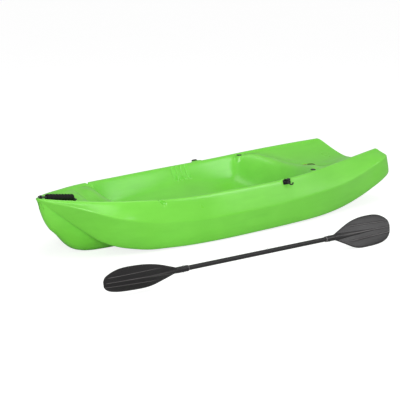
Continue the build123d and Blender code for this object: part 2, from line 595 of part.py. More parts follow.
# ---------------------------------------------------------------- carry handle
swing = Vector(*HANDLE_REAR) - Vector(*HANDLE_FRONT)
for end, seat_z, name in ((HANDLE_FRONT, EYE_SEAT_FRONT, "front"),
                          (HANDLE_REAR, EYE_SEAT_REAR, "rear")):
    with BuildPart() as handle_eye:
        with Locations((end[0], 0, seat_z)):
            Cylinder(SEAT_RADIUS - EYE_MARGIN, EYE_BASE, align=UP)
            Cylinder(EYE_SHANK - RUNNING_GAP, EYE_SHANK_DEPTH - END_GAP, align=DOWN)
            Box(EYE_THICKNESS, 2 * EYE_LUG, end[2] - seat_z, align=UP)
        with Locations(Plane(origin=end, z_dir=(1, 0, 0))):
            Cylinder(EYE_LUG, EYE_THICKNESS)
        with Locations(Plane(origin=end, z_dir=swing)):
            Cylinder(CORD_RADIUS + RUNNING_GAP, 4 * SEAT_RADIUS, mode=Mode.SUBTRACT)
    finish(handle_eye, f"handle_eye_{name}")

swing_aft = swing.normalized()
grip_line = Vector(*GRIP_REAR) - Vector(*GRIP_FRONT)
grip_aft = grip_line.normalized()
front_knot = Vector(*HANDLE_FRONT) - swing_aft * KNOT_REACH
rear_knot = Vector(*HANDLE_REAR) + swing_aft * KNOT_REACH
cord_path = [front_knot, Vector(*HANDLE_FRONT) + swing_aft * CORD_STRAIGHT,
             Vector(*GRIP_FRONT) - grip_aft * CORD_PROUD, Vector(*GRIP_REAR) + grip_aft * CORD_PROUD,
             Vector(*HANDLE_REAR) - swing_aft * CORD_STRAIGHT, rear_knot]
with BuildPart() as handle_cord:
    for start, end in zip(cord_path, cord_path[1:]):
        rod(start, end, CORD_RADIUS)
    with Locations(*cord_path[1:-1]):
        Sphere(CORD_RADIUS)
    with Locations(front_knot, rear_knot):
        Sphere(KNOT_RADIUS)
finish(handle_cord, "handle_cord")

grip_length = grip_line.length
pitch = grip_length / GRIP_WAVES
with BuildPart() as handle_grip:
    with BuildSketch(toward(GRIP_FRONT, GRIP_REAR)):
        Circle(GRIP_RADIUS)
        Circle(CORD_RADIUS + RUNNING_GAP, mode=Mode.SUBTRACT)
    extrude(amount=grip_length)
    # finger waves along the grip
    for n in range(GRIP_WAVES - 1):
        with Locations(toward(GRIP_FRONT, GRIP_REAR).offset((n + 1) * pitch)):
            Torus(GRIP_RADIUS + GRIP_GROOVE, 2 * GRIP_GROOVE, mode=Mode.SUBTRACT)
finish(handle_grip, "handle_grip")

# ---------------------------------------------------------------- paddle
yaw = radians(PADDLE_YAW)
to_bow = Vector(cos(yaw), -sin(yaw), 0)
paddle = Plane(origin=PADDLE_CENTRE, x_dir=to_bow, z_dir=(0, 0, 1))
to_port = paddle.y_dir


def across(distance):
    """Plane square to the paddle shaft; its Y points up and its Z to the bow."""
    return Plane(origin=paddle.origin + to_bow * distance, x_dir=to_port, z_dir=to_bow)


def tube(first, last, outer, inner):
    """Tube along the shaft between two distances, in the part being built."""
    with Locations(across(first)):
        Cylinder(outer, last - first, align=UP)
    with Locations(across(first)):
        Cylinder(inner, last - first, align=UP, mode=Mode.SUBTRACT)


def button_hole(angle):
    """Plane of a snap-button hole, turned about the shaft from straight up."""
    turn = radians(angle)
    outward = Vector(0, 0, 1) * cos(turn) + to_port * sin(turn)
    return Plane(origin=paddle.origin + to_bow * BUTTON_AT, x_dir=to_bow, z_dir=outward)


bore = SHAFT_RADIUS - SHAFT_WALL
with BuildPart() as shaft_bow:
    tube(0, SHAFT_HALF, SHAFT_RADIUS, bore)
    with Locations(Plane(origin=across(RIVET_AT).origin, z_dir=(0, 0, 1))):
        Cylinder(RIVET_RADIUS + RUNNING_GAP, 4 * SHAFT_RADIUS, mode=Mode.SUBTRACT)
finish(shaft_bow, "shaft_bow")

with BuildPart() as shaft_stern:
    tube(-SHAFT_HALF, -HALVES_GAP, SHAFT_RADIUS, bore)
    for step in range(FEATHER_HOLES):
        with Locations(button_hole(-step * FEATHER)):
            Cylinder(BUTTON_RADIUS + BUTTON_GAP, 2 * SHAFT_RADIUS, align=UP, mode=Mode.SUBTRACT)
    with Locations(Plane(origin=across(-RIVET_AT).origin, z_dir=(0, 0, 1))):
        Cylinder(RIVET_RADIUS + RUNNING_GAP, 4 * SHAFT_RADIUS, mode=Mode.SUBTRACT)
finish(shaft_stern, "shaft_stern")

with BuildPart() as ferrule:
    tube(-FERRULE_HALF, FERRULE_HALF, bore - RUNNING_GAP, bore - RUNNING_GAP - FERRULE_WALL)
    with Locations(button_hole(0)):
        Cylinder(BUTTON_RADIUS + RUNNING_GAP, 2 * SHAFT_RADIUS, align=UP, mode=Mode.SUBTRACT)
finish(ferrule, "ferrule")

with BuildPart() as snap_button:
    with Locations(button_hole(0).offset(BUTTON_FOOT)):
        Cylinder(BUTTON_RADIUS, SHAFT_RADIUS + BUTTON_PROUD - BUTTON_FOOT, align=UP)
        Cylinder(*BUTTON_FLANGE, align=UP)
    fillet(snap_button.edges().filter_by(GeomType.CIRCLE).sort_by(Axis.Z)[-1], BUTTON_ROUND)
finish(snap_button, "snap_button")

strip_width, strip = SPRING_STRIP
spring_side = Plane(origin=paddle.origin + to_port * (strip_width / 2), x_dir=to_bow,
                    z_dir=-to_port)
low_leg, high_leg = -BUTTON_FOOT - strip, BUTTON_FOOT - strip / 2 - RUNNING_GAP
bend = BUTTON_AT + SPRING_REACH
with BuildPart() as button_spring:
    with BuildSketch(spring_side):
        with BuildLine():
            # a leaf folded back on itself: its upper leg carries the button
            Polyline((BUTTON_AT - SPRING_TOE, low_leg), (BUTTON_AT + SPRING_TOE, low_leg),
                     (bend - SPRING_BEND, -SPRING_BEND), (bend, 0),
                     (bend - SPRING_BEND, SPRING_BEND), (BUTTON_AT + SPRING_TOE, high_leg),
                     (BUTTON_AT - SPRING_TOE, high_leg))
        trace(line_width=strip)
    extrude(amount=strip_width)
finish(button_spring, "button_spring")

for sign, name in ((1, "bow"), (-1, "stern")):
    lean = radians(BLADE_LEAN)
    edge_up = to_port * (sign * cos(lean)) + Vector(0, 0, 1) * sin(lean)
    away = to_bow * sign
    neck = paddle.origin + away * NECK_AT
    blade_plane = Plane(origin=neck, x_dir=away, z_dir=away.cross(edge_up))
    with BuildPart() as blade:
        with BuildSketch(blade_plane):
            with BuildLine():
                Spline(*[(BLADE_LENGTH * a, BLADE_HALF_WIDTH * b) for a, b in BLADE_OUTLINE])
                Line((0, BLADE_HALF_WIDTH * BLADE_OUTLINE[-1][1]),
                     (0, BLADE_HALF_WIDTH * BLADE_OUTLINE[0][1]))
            make_face()
        extrude(amount=BLADE_THICKNESS / 2, both=True)
        with Locations(Plane(origin=neck, z_dir=away)):
            Cone(SOCKET_RADIUS, BLADE_THICKNESS / 2, SPINE_LENGTH, align=UP)
            Cylinder(SOCKET_RADIUS, SOCKET_LENGTH, align=DOWN)
        with Locations(Plane(origin=neck + away * SOCKET_FLOOR, z_dir=away)):
            Cylinder(SHAFT_RADIUS + RUNNING_GAP, 2 * SOCKET_LENGTH, align=DOWN,
                     mode=Mode.SUBTRACT)
        with Locations(Plane(origin=paddle.origin + away * RIVET_AT, z_dir=(0, 0, 1))):
            Cylinder(RIVET_RADIUS + RUNNING_GAP, 4 * SHAFT_RADIUS, mode=Mode.SUBTRACT)
    finish(blade, f"blade_{name}")

    with BuildPart() as rivet:
        with Locations(Plane(origin=paddle.origin + away * RIVET_AT, z_dir=(0, 0, 1))):
            Cylinder(RIVET_RADIUS, 2 * SOCKET_RADIUS + RIVET_HEAD)
            head_at = SOCKET_RADIUS + RUNNING_GAP + RIVET_HEAD / 2
            with Locations((0, 0, head_at), (0, 0, -head_at)):
                Cylinder(2 * RIVET_RADIUS, RIVET_HEAD)
        rounds = rivet.edges().filter_by(GeomType.CIRCLE)
        fillet([rounds.sort_by(Axis.Z)[0], rounds.sort_by(Axis.Z)[-1]], RIVET_ROUND)
    finish(rivet, f"blade_rivet_{name}")
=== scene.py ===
"""Looks of the youth sit-on-top kayak and its two-piece paddle.

Same frame as the CAD: +X towards the bow, +Y to port, +Z up, origin at mid-length on
the floor.  Shapes are worked out in millimetres and handed to Blender in metres.
"""

import json
from math import cos, pi, radians, sin

import bmesh
import bpy
import numpy as np
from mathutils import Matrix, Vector


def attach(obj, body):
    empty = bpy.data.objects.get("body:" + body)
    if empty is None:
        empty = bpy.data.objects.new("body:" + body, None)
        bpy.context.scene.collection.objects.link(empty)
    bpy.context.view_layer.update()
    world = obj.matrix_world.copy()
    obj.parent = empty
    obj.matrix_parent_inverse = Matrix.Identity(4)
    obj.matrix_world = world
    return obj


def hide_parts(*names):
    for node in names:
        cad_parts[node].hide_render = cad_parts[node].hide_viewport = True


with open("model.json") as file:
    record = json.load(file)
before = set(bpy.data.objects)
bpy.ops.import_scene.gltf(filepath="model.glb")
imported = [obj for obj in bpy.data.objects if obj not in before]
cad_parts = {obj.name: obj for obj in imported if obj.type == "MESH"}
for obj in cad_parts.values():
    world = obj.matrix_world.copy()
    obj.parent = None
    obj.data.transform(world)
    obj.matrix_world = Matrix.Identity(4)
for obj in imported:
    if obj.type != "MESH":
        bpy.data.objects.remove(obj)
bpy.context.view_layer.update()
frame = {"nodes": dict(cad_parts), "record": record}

MM = 0.001
# ---------------------------------------------------------------- lines of the hull
# Each line is a list of (station along X, value).  _Y is a half-breadth, _Z a height.
KEEL_Z = [(-930, 114), (-750, 58), (-600, 20), (-450, 7), (-300, 2), (-150, -1), (640, -1),
          (725, 6), (747, 13), (780, 35), (828, 83), (861, 113), (881, 144), (897, 182),
          (909, 216), (915, 238)]
LOBE_Y = [(-930, 60), (600, 45), (700, 34), (780, 22), (860, 13), (900, 8), (915, 2)]
LOBE_RISE = [(-930, 0), (600, 0), (700, 2), (780, 6), (860, 10), (900, 8), (915, 1)]
TUNNEL_Y = [(-930, 110), (-600, 140), (0, 140), (300, 130), (500, 115), (600, 100), (700, 82),
            (770, 65), (838, 45), (880, 28), (905, 14), (915, 4)]
TUNNEL_Z = [(-930, 121), (-750, 69), (-600, 34), (-300, 17), (0, 18), (300, 26), (500, 42),
            (600, 60), (700, 94), (770, 136), (838, 184), (880, 212), (900, 229), (915, 239)]
CHINE_Y = [(-930, 218), (-915, 230), (-880, 248), (-750, 259), (-600, 264), (-450, 279),
           (-300, 291), (-150, 290), (0, 283), (150, 277), (300, 262), (450, 238), (540, 218),
           (600, 195), (646, 180), (712, 140), (770, 100), (838, 60), (880, 34), (900, 19),
           (915, 6)]
CHINE_Z = [(-930, 132), (-880, 112), (-750, 66), (-600, 26), (-450, 10), (-300, 7), (-150, 5),
           (0, 3), (300, 2), (450, 6), (540, 11), (600, 21), (646, 32), (712, 60), (770, 107),
           (838, 166), (880, 204), (900, 225), (915, 238)]
KNUCKLE_Y = [(-930, 206), (-905, 222), (-880, 238), (-750, 263), (-600, 286), (-450, 299),
             (-300, 305), (-150, 306), (0, 303), (150, 298), (300, 283), (450, 259), (600, 229),
             (700, 206), (750, 179), (800, 142), (850, 90), (880, 51), (900, 26), (910, 14),
             (915, 7)]
KNUCKLE_Z = [(-930, 212), (-880, 207), (-750, 175), (-600, 146), (-450, 128), (-300, 119),
             (0, 108), (300, 108), (450, 117), (600, 140), (700, 168), (800, 205), (850, 221),
             (880, 228), (915, 239)]
RIM_Y = [(-930, 183), (-880, 190), (-750, 213), (-600, 238), (-450, 261), (-300, 276),
         (-150, 282), (0, 281), (150, 276), (300, 266), (450, 246), (600, 203), (700, 159),
         (800, 104), (850, 69), (880, 41), (900, 22), (910, 12), (915, 6)]
RIM_Z = [(-930, 237), (-880, 235), (-750, 230), (-600, 223), (-450, 215), (-300, 207),
         (0, 203), (300, 204), (450, 208), (600, 216), (700, 222), (800, 231), (880, 239),
         (915, 243)]
# The deck: height on the centreline, rise from there to the foot of the side walls, and
# where that foot is, as a fraction of the half-breadth inside the rim.
DECK_Z = [(-930, 167), (-880, 166), (-640, 158), (-560, 172), (-500, 187), (-470, 180),
          (-440, 140), (-405, 88), (-370, 64), (-300, 58), (-200, 60), (-100, 69), (0, 72),
          (150, 60), (300, 54), (420, 58), (465, 84), (500, 152), (525, 168), (550, 170),
          (575, 158), (600, 156), (625, 174), (650, 180), (690, 182), (715, 192), (740, 196),
          (800, 204), (880, 219), (905, 232), (915, 240)]
DECK_RISE = [(-930, 0), (-560, 6), (-440, 30), (-300, 38), (-150, 52), (0, 54), (300, 46),
             (450, 30), (510, 32), (600, 30), (650, 24), (700, 8), (760, 4), (915, 0)]
FOOT_PART = [(-930, 0.14), (-650, 0.18), (-560, 0.35), (-470, 0.65), (-400, 0.8), (400, 0.79),
             (560, 0.72), (900, 0.6), (915, 0.5)]
WALL_CURVE = 1.35           # how much the foot of a side wall is rounded
RIM_SHARE = 0.45            # at the bow the rim is that part of its half-breadth wide
WALL_PARTS = (0.75, 0.45, 0.15)     # section corners up a side wall, from rim to foot
FLOOR_PARTS = (0.85, 0.6, 0.3, 0)   # and across the deck, from the foot to the middle
LOBE_FLANK = (0.62, 0.40)   # corner between the lobe and the tunnel, across and up
TUNNEL_FLANK = (0.40, 0.45)         # between the tunnel and the pontoon, likewise
PONTOON_PART = 0.72         # lowest point of a pontoon, from the tunnel out to the chine
PONTOON_RISE = 0.04         # and how far up from the chine towards the tunnel it is
CHINE_BEVEL = 9             # size of the rounding at the chine
CHINE_SHARE = 0.15          # and its limit, as a part of the pontoon's width
CHINE_CORNER = (0.15, 0.8)  # upper corner of that rounding, out and up, in bevels
CHINE_FLARE = 4             # it moves out only where the side flares by about this much
RIM_ROUND = [(0, 1), (0.17, 0.2), (0.45, 0), (0.75, 0.2)]   # rim corners, across and down
RIM_DEPTH = 0.45            # depth of the rim's outer round, as a part of its width
RIM_SIDE = 0.6              # and its limit, as a part of the height above the knuckle
RIM_FALL = 0.4              # the rim's inner edge is lower than its top by that part
RIM_TOP = 0.45              # the rim's highest line, from its outer edge inwards
SEAT_BACK_BOW = 70          # the seat back is that far forward at the sides
SEAT_BACK_FROM = -250       # station where that bow begins, and where it is complete
SEAT_BACK_FULL = -400
RIM_WIDTH = 24              # width of the rounded rim around the cockpit

# Lengths over which the lines are averaged, so that their curvature flows.
KEEL_REACH = 14
TUNNEL_REACH = 20
CHINE_REACH = 25
KNUCKLE_REACH = 30
RIM_REACH = 30
RIM_TOP_REACH = 25
RIM_WIDTH_REACH = 20
DECK_REACH = 10
DECK_RISE_REACH = 20
AVERAGED_AT = 9             # places at which a line is read for one average
WEIGHT_FLOOR = 0.02         # smallest weight of such a place
END_PART = 9                # near the ends a reach is at most the rest of the hull over this

STATION_STEP = 6.5          # spacing of the sections, and where it is finer: from, to, spacing
FINE_STATIONS = [(-915, -880, 4), (-690, -590, 4), (-420, -380, 5), (-200, -145, 4.5),
                 (-104, 8, 2.8), (430, 510, 3.2), (720, 750, 5), (870, 913, 3)]
SKIN_END_BOW = 913          # last section, just inside the tip of the bow
TRANSOM_TOP = (-884, 236)   # the raked transom in side view (x, z)
TRANSOM_FOOT = (-915, 108)
TRANSOM_CORNER = 30         # radius of the top corner of the stern, in side view
TRANSOM_EDGE = 5            # radius of the edge all round the transom
TRANSOM_EDGE_ANGLES = (90, 67.5, 45, 22.5)  # places of its rings round that edge
STERN_BLEND = 90            # over this length the sections tilt into the transom's rake
STERN_GUESS = -900.0        # first guess of where a line meets the transom
STERN_ROUNDS = 6            # and how often the guess is improved
BOW_CAPS = ((0.88, 1.0), (0.6, 1.8), (0.25, 2.1))   # closing rings: scale, and how far ahead

FINGER_X = (-8, -35, -62, -89)      # finger grooves in both inner walls, for carrying
FINGER_RADIUS = 12
FINGER_FOOT = (227, 146)            # where a groove's centreline starts and ends (y, z)
FINGER_HEAD = (255, 204)
FINGER_FADE = (9, 5)                # a groove fades over this run beyond its ends and inside
FINGER_BANK = 1.5                   # slope of the wall beside a groove
FINGER_NEAR = 1.5                   # the wall is pressed within this many radii of its line
FINGER_LIP = 1.2                    # softness of a groove's lip
NOTCH_X = 498                       # strap notches across the rims, swept aft
NOTCH_RADIUS = 6.5
NOTCH_FALLS = ((-30, 20, -22), (-42, -30, -30))
NOTCH_START = 3                     # a notch fades in over this run either side of its start
NOTCH_RUNOUT = 0.8                  # and fades out from this part of its run
DRAIN = (-633, 0, 156)              # middle of the drain's seat, and its oval recess
DRAIN_OVAL = (29, 45.5)
DRAIN_BLEND = (1.03, 1.2)           # the recess ends and the deck begins, in ovals
DRAIN_UNDER = 40                    # the seat takes in the deck down to this depth
PLUG = (-396, 229, 207)             # moulded seats of the ledge plugs and handle eyes
EYE_SEATS = ((897, 0, 235), (735.5, 0, 196.5))
SEAT_RADIUS = 11
SEAT_EDGE = 5                       # width of the slope round a seat
SEAT_UNDER = 35                     # the seat takes in the skin down to this depth
KEEPER_X = -172                     # paddle keepers on the outer faces of the rims
KEEPER_Z = 194
KEEPER_TILT = 16
KEEPER_PROUD = 1.5
KEEPER_PLATE = (44, 22, 3)
KEEPER_MARGIN = 2                   # the flat under a keeper is longer than it by this
KEEPER_UNDER = 12                   # and takes in the skin within this depth


# ---------------------------------------------------------------- small mesh tools
SHARP_ANGLE = 50            # edges sharper than this are shaded as creases


def fair(line, x):
    """Values of a hull line at stations x: a cubic through its points, without overshoot."""
    at, value = np.array(line, float).T
    x = np.clip(x, at[0], at[-1])
    span = np.diff(at)
    rate = np.diff(value) / span
    before, after = rate[:-1], rate[1:]
    middle = (before * span[1:] + after * span[:-1]) / (span[1:] + span[:-1])
    limit = 3 * np.minimum(abs(before), abs(after))
    inner = np.where(before * after <= 0, 0, np.clip(middle, -limit, limit))
    slope = np.concatenate([rate[:1], inner, rate[-1:]])
    n = np.clip(np.searchsorted(at, x), 1, len(at) - 1)
    t = (x - at[n - 1]) / span[n - 1]
    return (value[n - 1] * (1 + 2 * t) * (1 - t) ** 2
            + slope[n - 1] * span[n - 1] * t * (1 - t) ** 2
            + value[n] * t * t * (3 - 2 * t)
            - slope[n] * span[n - 1] * t * t * (1 - t))


def smooth(line, x, reach):
    """A hull line averaged over a short length, so that its curvature flows."""
    rest = SKIN_END_BOW - abs(np.asarray(x, float))
    reach = np.minimum(reach, np.clip(rest / END_PART, 1, None))
    steps = np.linspace(-1, 1, AVERAGED_AT)
    weights = np.cos(steps * pi / 2) ** 2 + WEIGHT_FLOOR
    weights /= weights.sum()
    return sum(w * fair(line, x + s * reach) for w, s in zip(weights, steps))


def step(low, high, value):
    """Smooth step from 0 at low to 1 at high."""
    t = np.clip((value - low) / (high - low), 0, 1)
    return t * t * (3 - 2 * t)


def soft_max(a, b, width):
    """Larger of two values, rounded where they cross."""
    return np.maximum(a, b) + np.clip(width - abs(a - b), 0, None) ** 2 / (4 * width)


def unit(v):
    """Vectors along the last axis, scaled to length one."""
    v = np.asarray(v, float)
    return v / np.maximum(np.linalg.norm(v, axis=-1, keepdims=True), 1e-9)


def run_along(path):
    """Distance along a path at each of its points."""
    steps = np.linalg.norm(np.diff(path, axis=0), axis=1)
    return np.concatenate([[0], np.cumsum(steps)])


def shell(rings, ends=(True, True)):
    """Vertices (m) and faces of a loft through rings of points (mm), closed at its ends."""
    count, around = rings.shape[:2]
    faces = []
    for i in range(count - 1):
        for j in range(around):
            k = (j + 1) % around
            faces.append((i * around + j, i * around + k,
                          (i + 1) * around + k, (i + 1) * around + j))
    if ends[0]:
        faces.append(tuple(range(around))[::-1])
    if ends[1]:
        faces.append(tuple(range((count - 1) * around, count * around)))
    return rings.reshape(-1, 3) * MM, faces


def make(name, shells, body, slot, replaces=()):
    """Mesh object from closed shells, riding on a body and replacing the named CAD nodes."""
    bm = bmesh.new()
    for verts, faces in shells:
        made = [bm.verts.new(v) for v in verts]
        for f in faces:
            bm.faces.new([made[i] for i in f])
    bmesh.ops.remove_doubles(bm, verts=bm.verts, dist=1e-7)
    bmesh.ops.dissolve_degenerate(bm, edges=bm.edges, dist=1e-7)
    bmesh.ops.triangulate(bm, faces=[f for f in bm.faces if len(f.verts) > 4])
    bmesh.ops.recalc_face_normals(bm, faces=bm.faces)
    mesh = bpy.data.meshes.new(name)
    bm.to_mesh(mesh)
    bm.free()
    for polygon in mesh.polygons:
        polygon.use_smooth = True
    mesh.set_sharp_from_angle(angle=radians(SHARP_ANGLE))
    obj = bpy.data.objects.new(name, mesh)
    bpy.context.scene.collection.objects.link(obj)
    mesh.materials.append(MATERIALS[slot])
    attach(obj, body)
    if replaces:
        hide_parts(*replaces)
    return obj


# ---------------------------------------------------------------- hull
def rim_width(x):
    """Width of the rim, which narrows into the tip of the bow."""
    return np.minimum(RIM_WIDTH, RIM_SHARE * smooth(RIM_Y, x, RIM_WIDTH_REACH))


def deck_height(x, part):
    """Height of the deck at a fraction of the half-breadth inside the rim."""
    foot = fair(FOOT_PART, x)
    bow = np.clip((SEAT_BACK_FROM - x) / (SEAT_BACK_FROM - SEAT_BACK_FULL), 0, 1)
    shifted = x - SEAT_BACK_BOW * bow * part ** 2
    inside = np.minimum(part / foot, 1)
    floor = smooth(DECK_Z, shifted, DECK_REACH)
    floor = floor + smooth(DECK_RISE, x, DECK_RISE_REACH) * inside ** 2
    climb = np.clip((part - foot) / (1 - foot), 0, None) ** WALL_CURVE
    edge = smooth(RIM_Z, x, RIM_TOP_REACH) - RIM_FALL * rim_width(x)
    return floor + (edge - floor) * climb


def half_section(x):
    """Port half of the control outline at stations x, from the keel round to the deck."""
    keel, lobe, rise = (smooth(line, x, KEEL_REACH) for line in (KEEL_Z, LOBE_Y, LOBE_RISE))
    lobe_z = keel + rise
    tunnel_y, tunnel_z = (smooth(line, x, TUNNEL_REACH) for line in (TUNNEL_Y, TUNNEL_Z))
    chine_y, chine_z = (smooth(line, x, CHINE_REACH) for line in (CHINE_Y, CHINE_Z))
    knuckle_y, knuckle_z = (smooth(line, x, KNUCKLE_REACH) for line in (KNUCKLE_Y, KNUCKLE_Z))
    rim_y, rim_z = smooth(RIM_Y, x, RIM_REACH), smooth(RIM_Z, x, RIM_TOP_REACH)
    width = rim_width(x)
    pontoon_y = tunnel_y + PONTOON_PART * (chine_y - tunnel_y)
    bevel = np.minimum(CHINE_BEVEL, CHINE_SHARE * (chine_y - tunnel_y))
    depth = np.minimum(RIM_DEPTH * width, RIM_SIDE * (rim_z - knuckle_z))
    points = [
        (0 * x, keel),
        (lobe, lobe_z),
        (lobe + LOBE_FLANK[0] * (tunnel_y - lobe), lobe_z + LOBE_FLANK[1] * (tunnel_z - lobe_z)),
        (tunnel_y, tunnel_z),
        (tunnel_y + TUNNEL_FLANK[0] * (pontoon_y - tunnel_y),
         tunnel_z + TUNNEL_FLANK[1] * (chine_z - tunnel_z)),
        (pontoon_y, chine_z + PONTOON_RISE * (tunnel_z - chine_z)),
        (chine_y - bevel, chine_z),
        (chine_y + CHINE_CORNER[0] * bevel * step(-CHINE_FLARE, CHINE_FLARE, knuckle_y - chine_y),
         chine_z + CHINE_CORNER[1] * bevel),
        (knuckle_y, knuckle_z),
    ]
    points += [(rim_y - across_rim * width, rim_z - down * depth) for across_rim, down in RIM_ROUND]
    points.append((rim_y - width, rim_z - RIM_FALL * width))
    foot = fair(FOOT_PART, x)
    parts = [foot + share * (1 - foot) for share in WALL_PARTS]
    parts += [share * foot for share in FLOOR_PARTS]
    points += [(part * (rim_y - width), deck_height(x, part)) for part in parts]
    return points


# How each corner of the outline is rounded: the length rounded on either side (None for
# all of it), the points on the round, and the points on the flat that follows.
FLOW = None
ROUNDING = [(FLOW, 4, 0), (FLOW, 5, 0), (FLOW, 5, 0), (FLOW, 5, 0), (FLOW, 5, 0),
            (FLOW, 5, 0), (FLOW, 4, 0), (FLOW, 4, 7), (6, 5, 6), (12, 5, 0), (FLOW, 4, 0),
            (FLOW, 4, 0), (FLOW, 4, 0), (FLOW, 5, 2), (FLOW, 6, 0), (FLOW, 6, 0),
            (FLOW, 6, 0), (FLOW, 6, 0), (FLOW, 6, 0), (FLOW, 6, 0), (FLOW, 8, 0)]


def transom_x(z):
    """X of the transom's plane at height z."""
    share = (z - TRANSOM_FOOT[1]) / (TRANSOM_TOP[1] - TRANSOM_FOOT[1])
    return TRANSOM_FOOT[0] + share * (TRANSOM_TOP[0] - TRANSOM_FOOT[0])


def stations():
    """Stations along the hull, denser at the grooves, the drain, the seat and the ends."""
    places = []
    x = float(TRANSOM_FOOT[0])
    while x < SKIN_END_BOW:
        places.append(x)
        finer = [size for start, end, size in FINE_STATIONS if start <= x <= end]
        x += min(finer + [STATION_STEP])
    return np.array(places + [SKIN_END_BOW])


def rounded(corners, closed_rules):
    """Rings of points round closed control outlines (stations, corners, 3)."""
    rows = []
    count = corners.shape[1]
    for k, (reach, on_round, on_flat) in enumerate(closed_rules):
        here = corners[:, k]
        before, after = corners[:, k - 1] - here, corners[:, (k + 1) % count] - here
        long_before = np.linalg.norm(before, axis=1, keepdims=True)
        long_after = np.linalg.norm(after, axis=1, keepdims=True)
        limit = 1e9 if reach is None else reach
        start = here + unit(before) * np.minimum(limit, 0.5 * long_before)
        end = here + unit(after) * np.minimum(limit, 0.5 * long_after)
        crisp = reach is not None
        for i in range(on_round):
            t = i / (on_round - 1) if crisp else (i + 0.5) / on_round
            rows.append(start * (1 - t) ** 2 + here * 2 * t * (1 - t) + end * t * t)
        if on_flat:
            next_reach = closed_rules[(k + 1) % count][0]
            limit = 1e9 if next_reach is None else next_reach
            back = np.minimum(limit, 0.5 * long_after)
            stop = corners[:, (k + 1) % count] - unit(after) * back
            for i in range(on_flat):
                t = (i + 1) / (on_flat + 1)
                rows.append(end * (1 - t) + stop * t)
    return np.stack(rows, axis=1)


def keeper_seat(side):
    """Origin and axes of a keeper's seat: along the rim, up the side, outboard."""
    share = (KEEPER_Z - fair(KNUCKLE_Z, KEEPER_X)) / (
        fair(RIM_Z, KEEPER_X) - RIM_DEPTH * RIM_WIDTH - fair(KNUCKLE_Z, KEEPER_X))
    low, high = fair(KNUCKLE_Y, KEEPER_X), fair(RIM_Y, KEEPER_X)
    y = low + share * (high - low) + KEEPER_PROUD
    lean = radians(KEEPER_TILT)
    out = np.array([0, side * cos(lean), sin(lean)])
    along = np.array([-side, 0, 0])
    return np.array([KEEPER_X, side * y, KEEPER_Z]), along, np.cross(out, along), out


def normals(grid):
    """Outward normals of a grid of rings."""
    along = np.gradient(grid, axis=0)
    round_ = np.roll(grid, -1, axis=1) - np.roll(grid, 1, axis=1)
    return unit(np.cross(round_, along))


def press_fingers(grid):
    """Finger grooves pressed outwards into the inner walls."""
    foot, head = np.array(FINGER_FOOT), np.array(FINGER_HEAD)
    reach = np.linalg.norm(head - foot)
    up = (head - foot) / reach
    out = np.array([up[1], -up[0]])
    side = np.sign(grid[..., 1])
    flat = np.stack([abs(grid[..., 1]), grid[..., 2]], axis=-1) - foot
    rise, depth = flat @ up, flat @ out
    beyond, within = FINGER_FADE
    window = step(-beyond, within, rise) * (1 - step(reach - within, reach + beyond, rise))
    near = abs(depth) < FINGER_NEAR * FINGER_RADIUS
    wanted = depth.copy()
    for x in FINGER_X:
        u = abs(grid[..., 0] - x)
        inside = np.sqrt(np.clip(FINGER_RADIUS ** 2 - u ** 2, 0, None))
        groove = np.where(u < FINGER_RADIUS, inside, -FINGER_BANK * (u - FINGER_RADIUS))
        wanted = np.where(near, soft_max(wanted, groove, FINGER_LIP), wanted)
    push = (wanted - depth) * window
    grid[..., 1] += side * push * out[0]
    grid[..., 2] += push * out[1]


def press_notches(grid):
    """Strap notches over the rims: each is a round rod pressed into the skin."""
    out = normals(grid)
    top = np.array([NOTCH_X, fair(RIM_Y, NOTCH_X) - RIM_TOP * RIM_WIDTH, fair(RIM_Z, NOTCH_X)])
    for mirror in (1, -1):
        for fall in NOTCH_FALLS:
            flip = np.array([1, mirror, 1])
            run = np.array(fall) * flip
            length = np.linalg.norm(run)
            along = unit(run)
            from_start = grid - top * flip
            s = from_start @ along
            # how far along its normal each point is from the rod's surface
            q = from_start - s[..., None] * along
            n = out - (out @ along)[..., None] * along
            a = (n * n).sum(-1) + 1e-9
            b = (q * n).sum(-1)
            c = (q * q).sum(-1) - NOTCH_RADIUS ** 2
            t = (b + np.sqrt(np.clip(b * b - a * c, 0, None))) / a
            inside = (c < 0) & (s > -NOTCH_START) & (s < length)
            fade = step(-NOTCH_START, NOTCH_START, s) * (1 - step(NOTCH_RUNOUT, 1, s / length))
            grid -= np.where(inside, t * fade, 0)[..., None] * out


def press_seats(grid):
    """Flat seats moulded for the drain, the plugs, the handle eyes and the keepers."""
    x, y, z = grid[..., 0], grid[..., 1], grid[..., 2]
    oval = np.hypot((x - DRAIN[0]) / DRAIN_OVAL[0], (y - DRAIN[1]) / DRAIN_OVAL[1])
    deck = z > DRAIN[2] - DRAIN_UNDER
    share = step(*DRAIN_BLEND, oval)
    z[:] = np.where(deck & (oval < DRAIN_BLEND[1]), DRAIN[2] + (z - DRAIN[2]) * share, z)
    seats = [PLUG, (PLUG[0], -PLUG[1], PLUG[2]), *EYE_SEATS]
    for sx, sy, sz in seats:
        away = np.hypot(x - sx, y - sy)
        share = step(SEAT_RADIUS, SEAT_RADIUS + SEAT_EDGE, away)
        near = (away < SEAT_RADIUS + SEAT_EDGE) & (z > sz - SEAT_UNDER)
        z[:] = np.where(near, sz + (z - sz) * share, z)
    for side in (1, -1):
        origin, along, up, out = keeper_seat(side)
        q = grid - origin
        u, v, w = abs(q @ along), abs(q @ up), q @ out
        edge = np.maximum(u - KEEPER_PLATE[0] / 2 - KEEPER_MARGIN, v - KEEPER_PLATE[1] / 2)
        share = 1 - step(0, SEAT_EDGE, edge)
        near = (abs(w) < KEEPER_UNDER) & (edge < SEAT_EDGE)
        grid -= np.where(near, w * share, 0)[..., None] * out


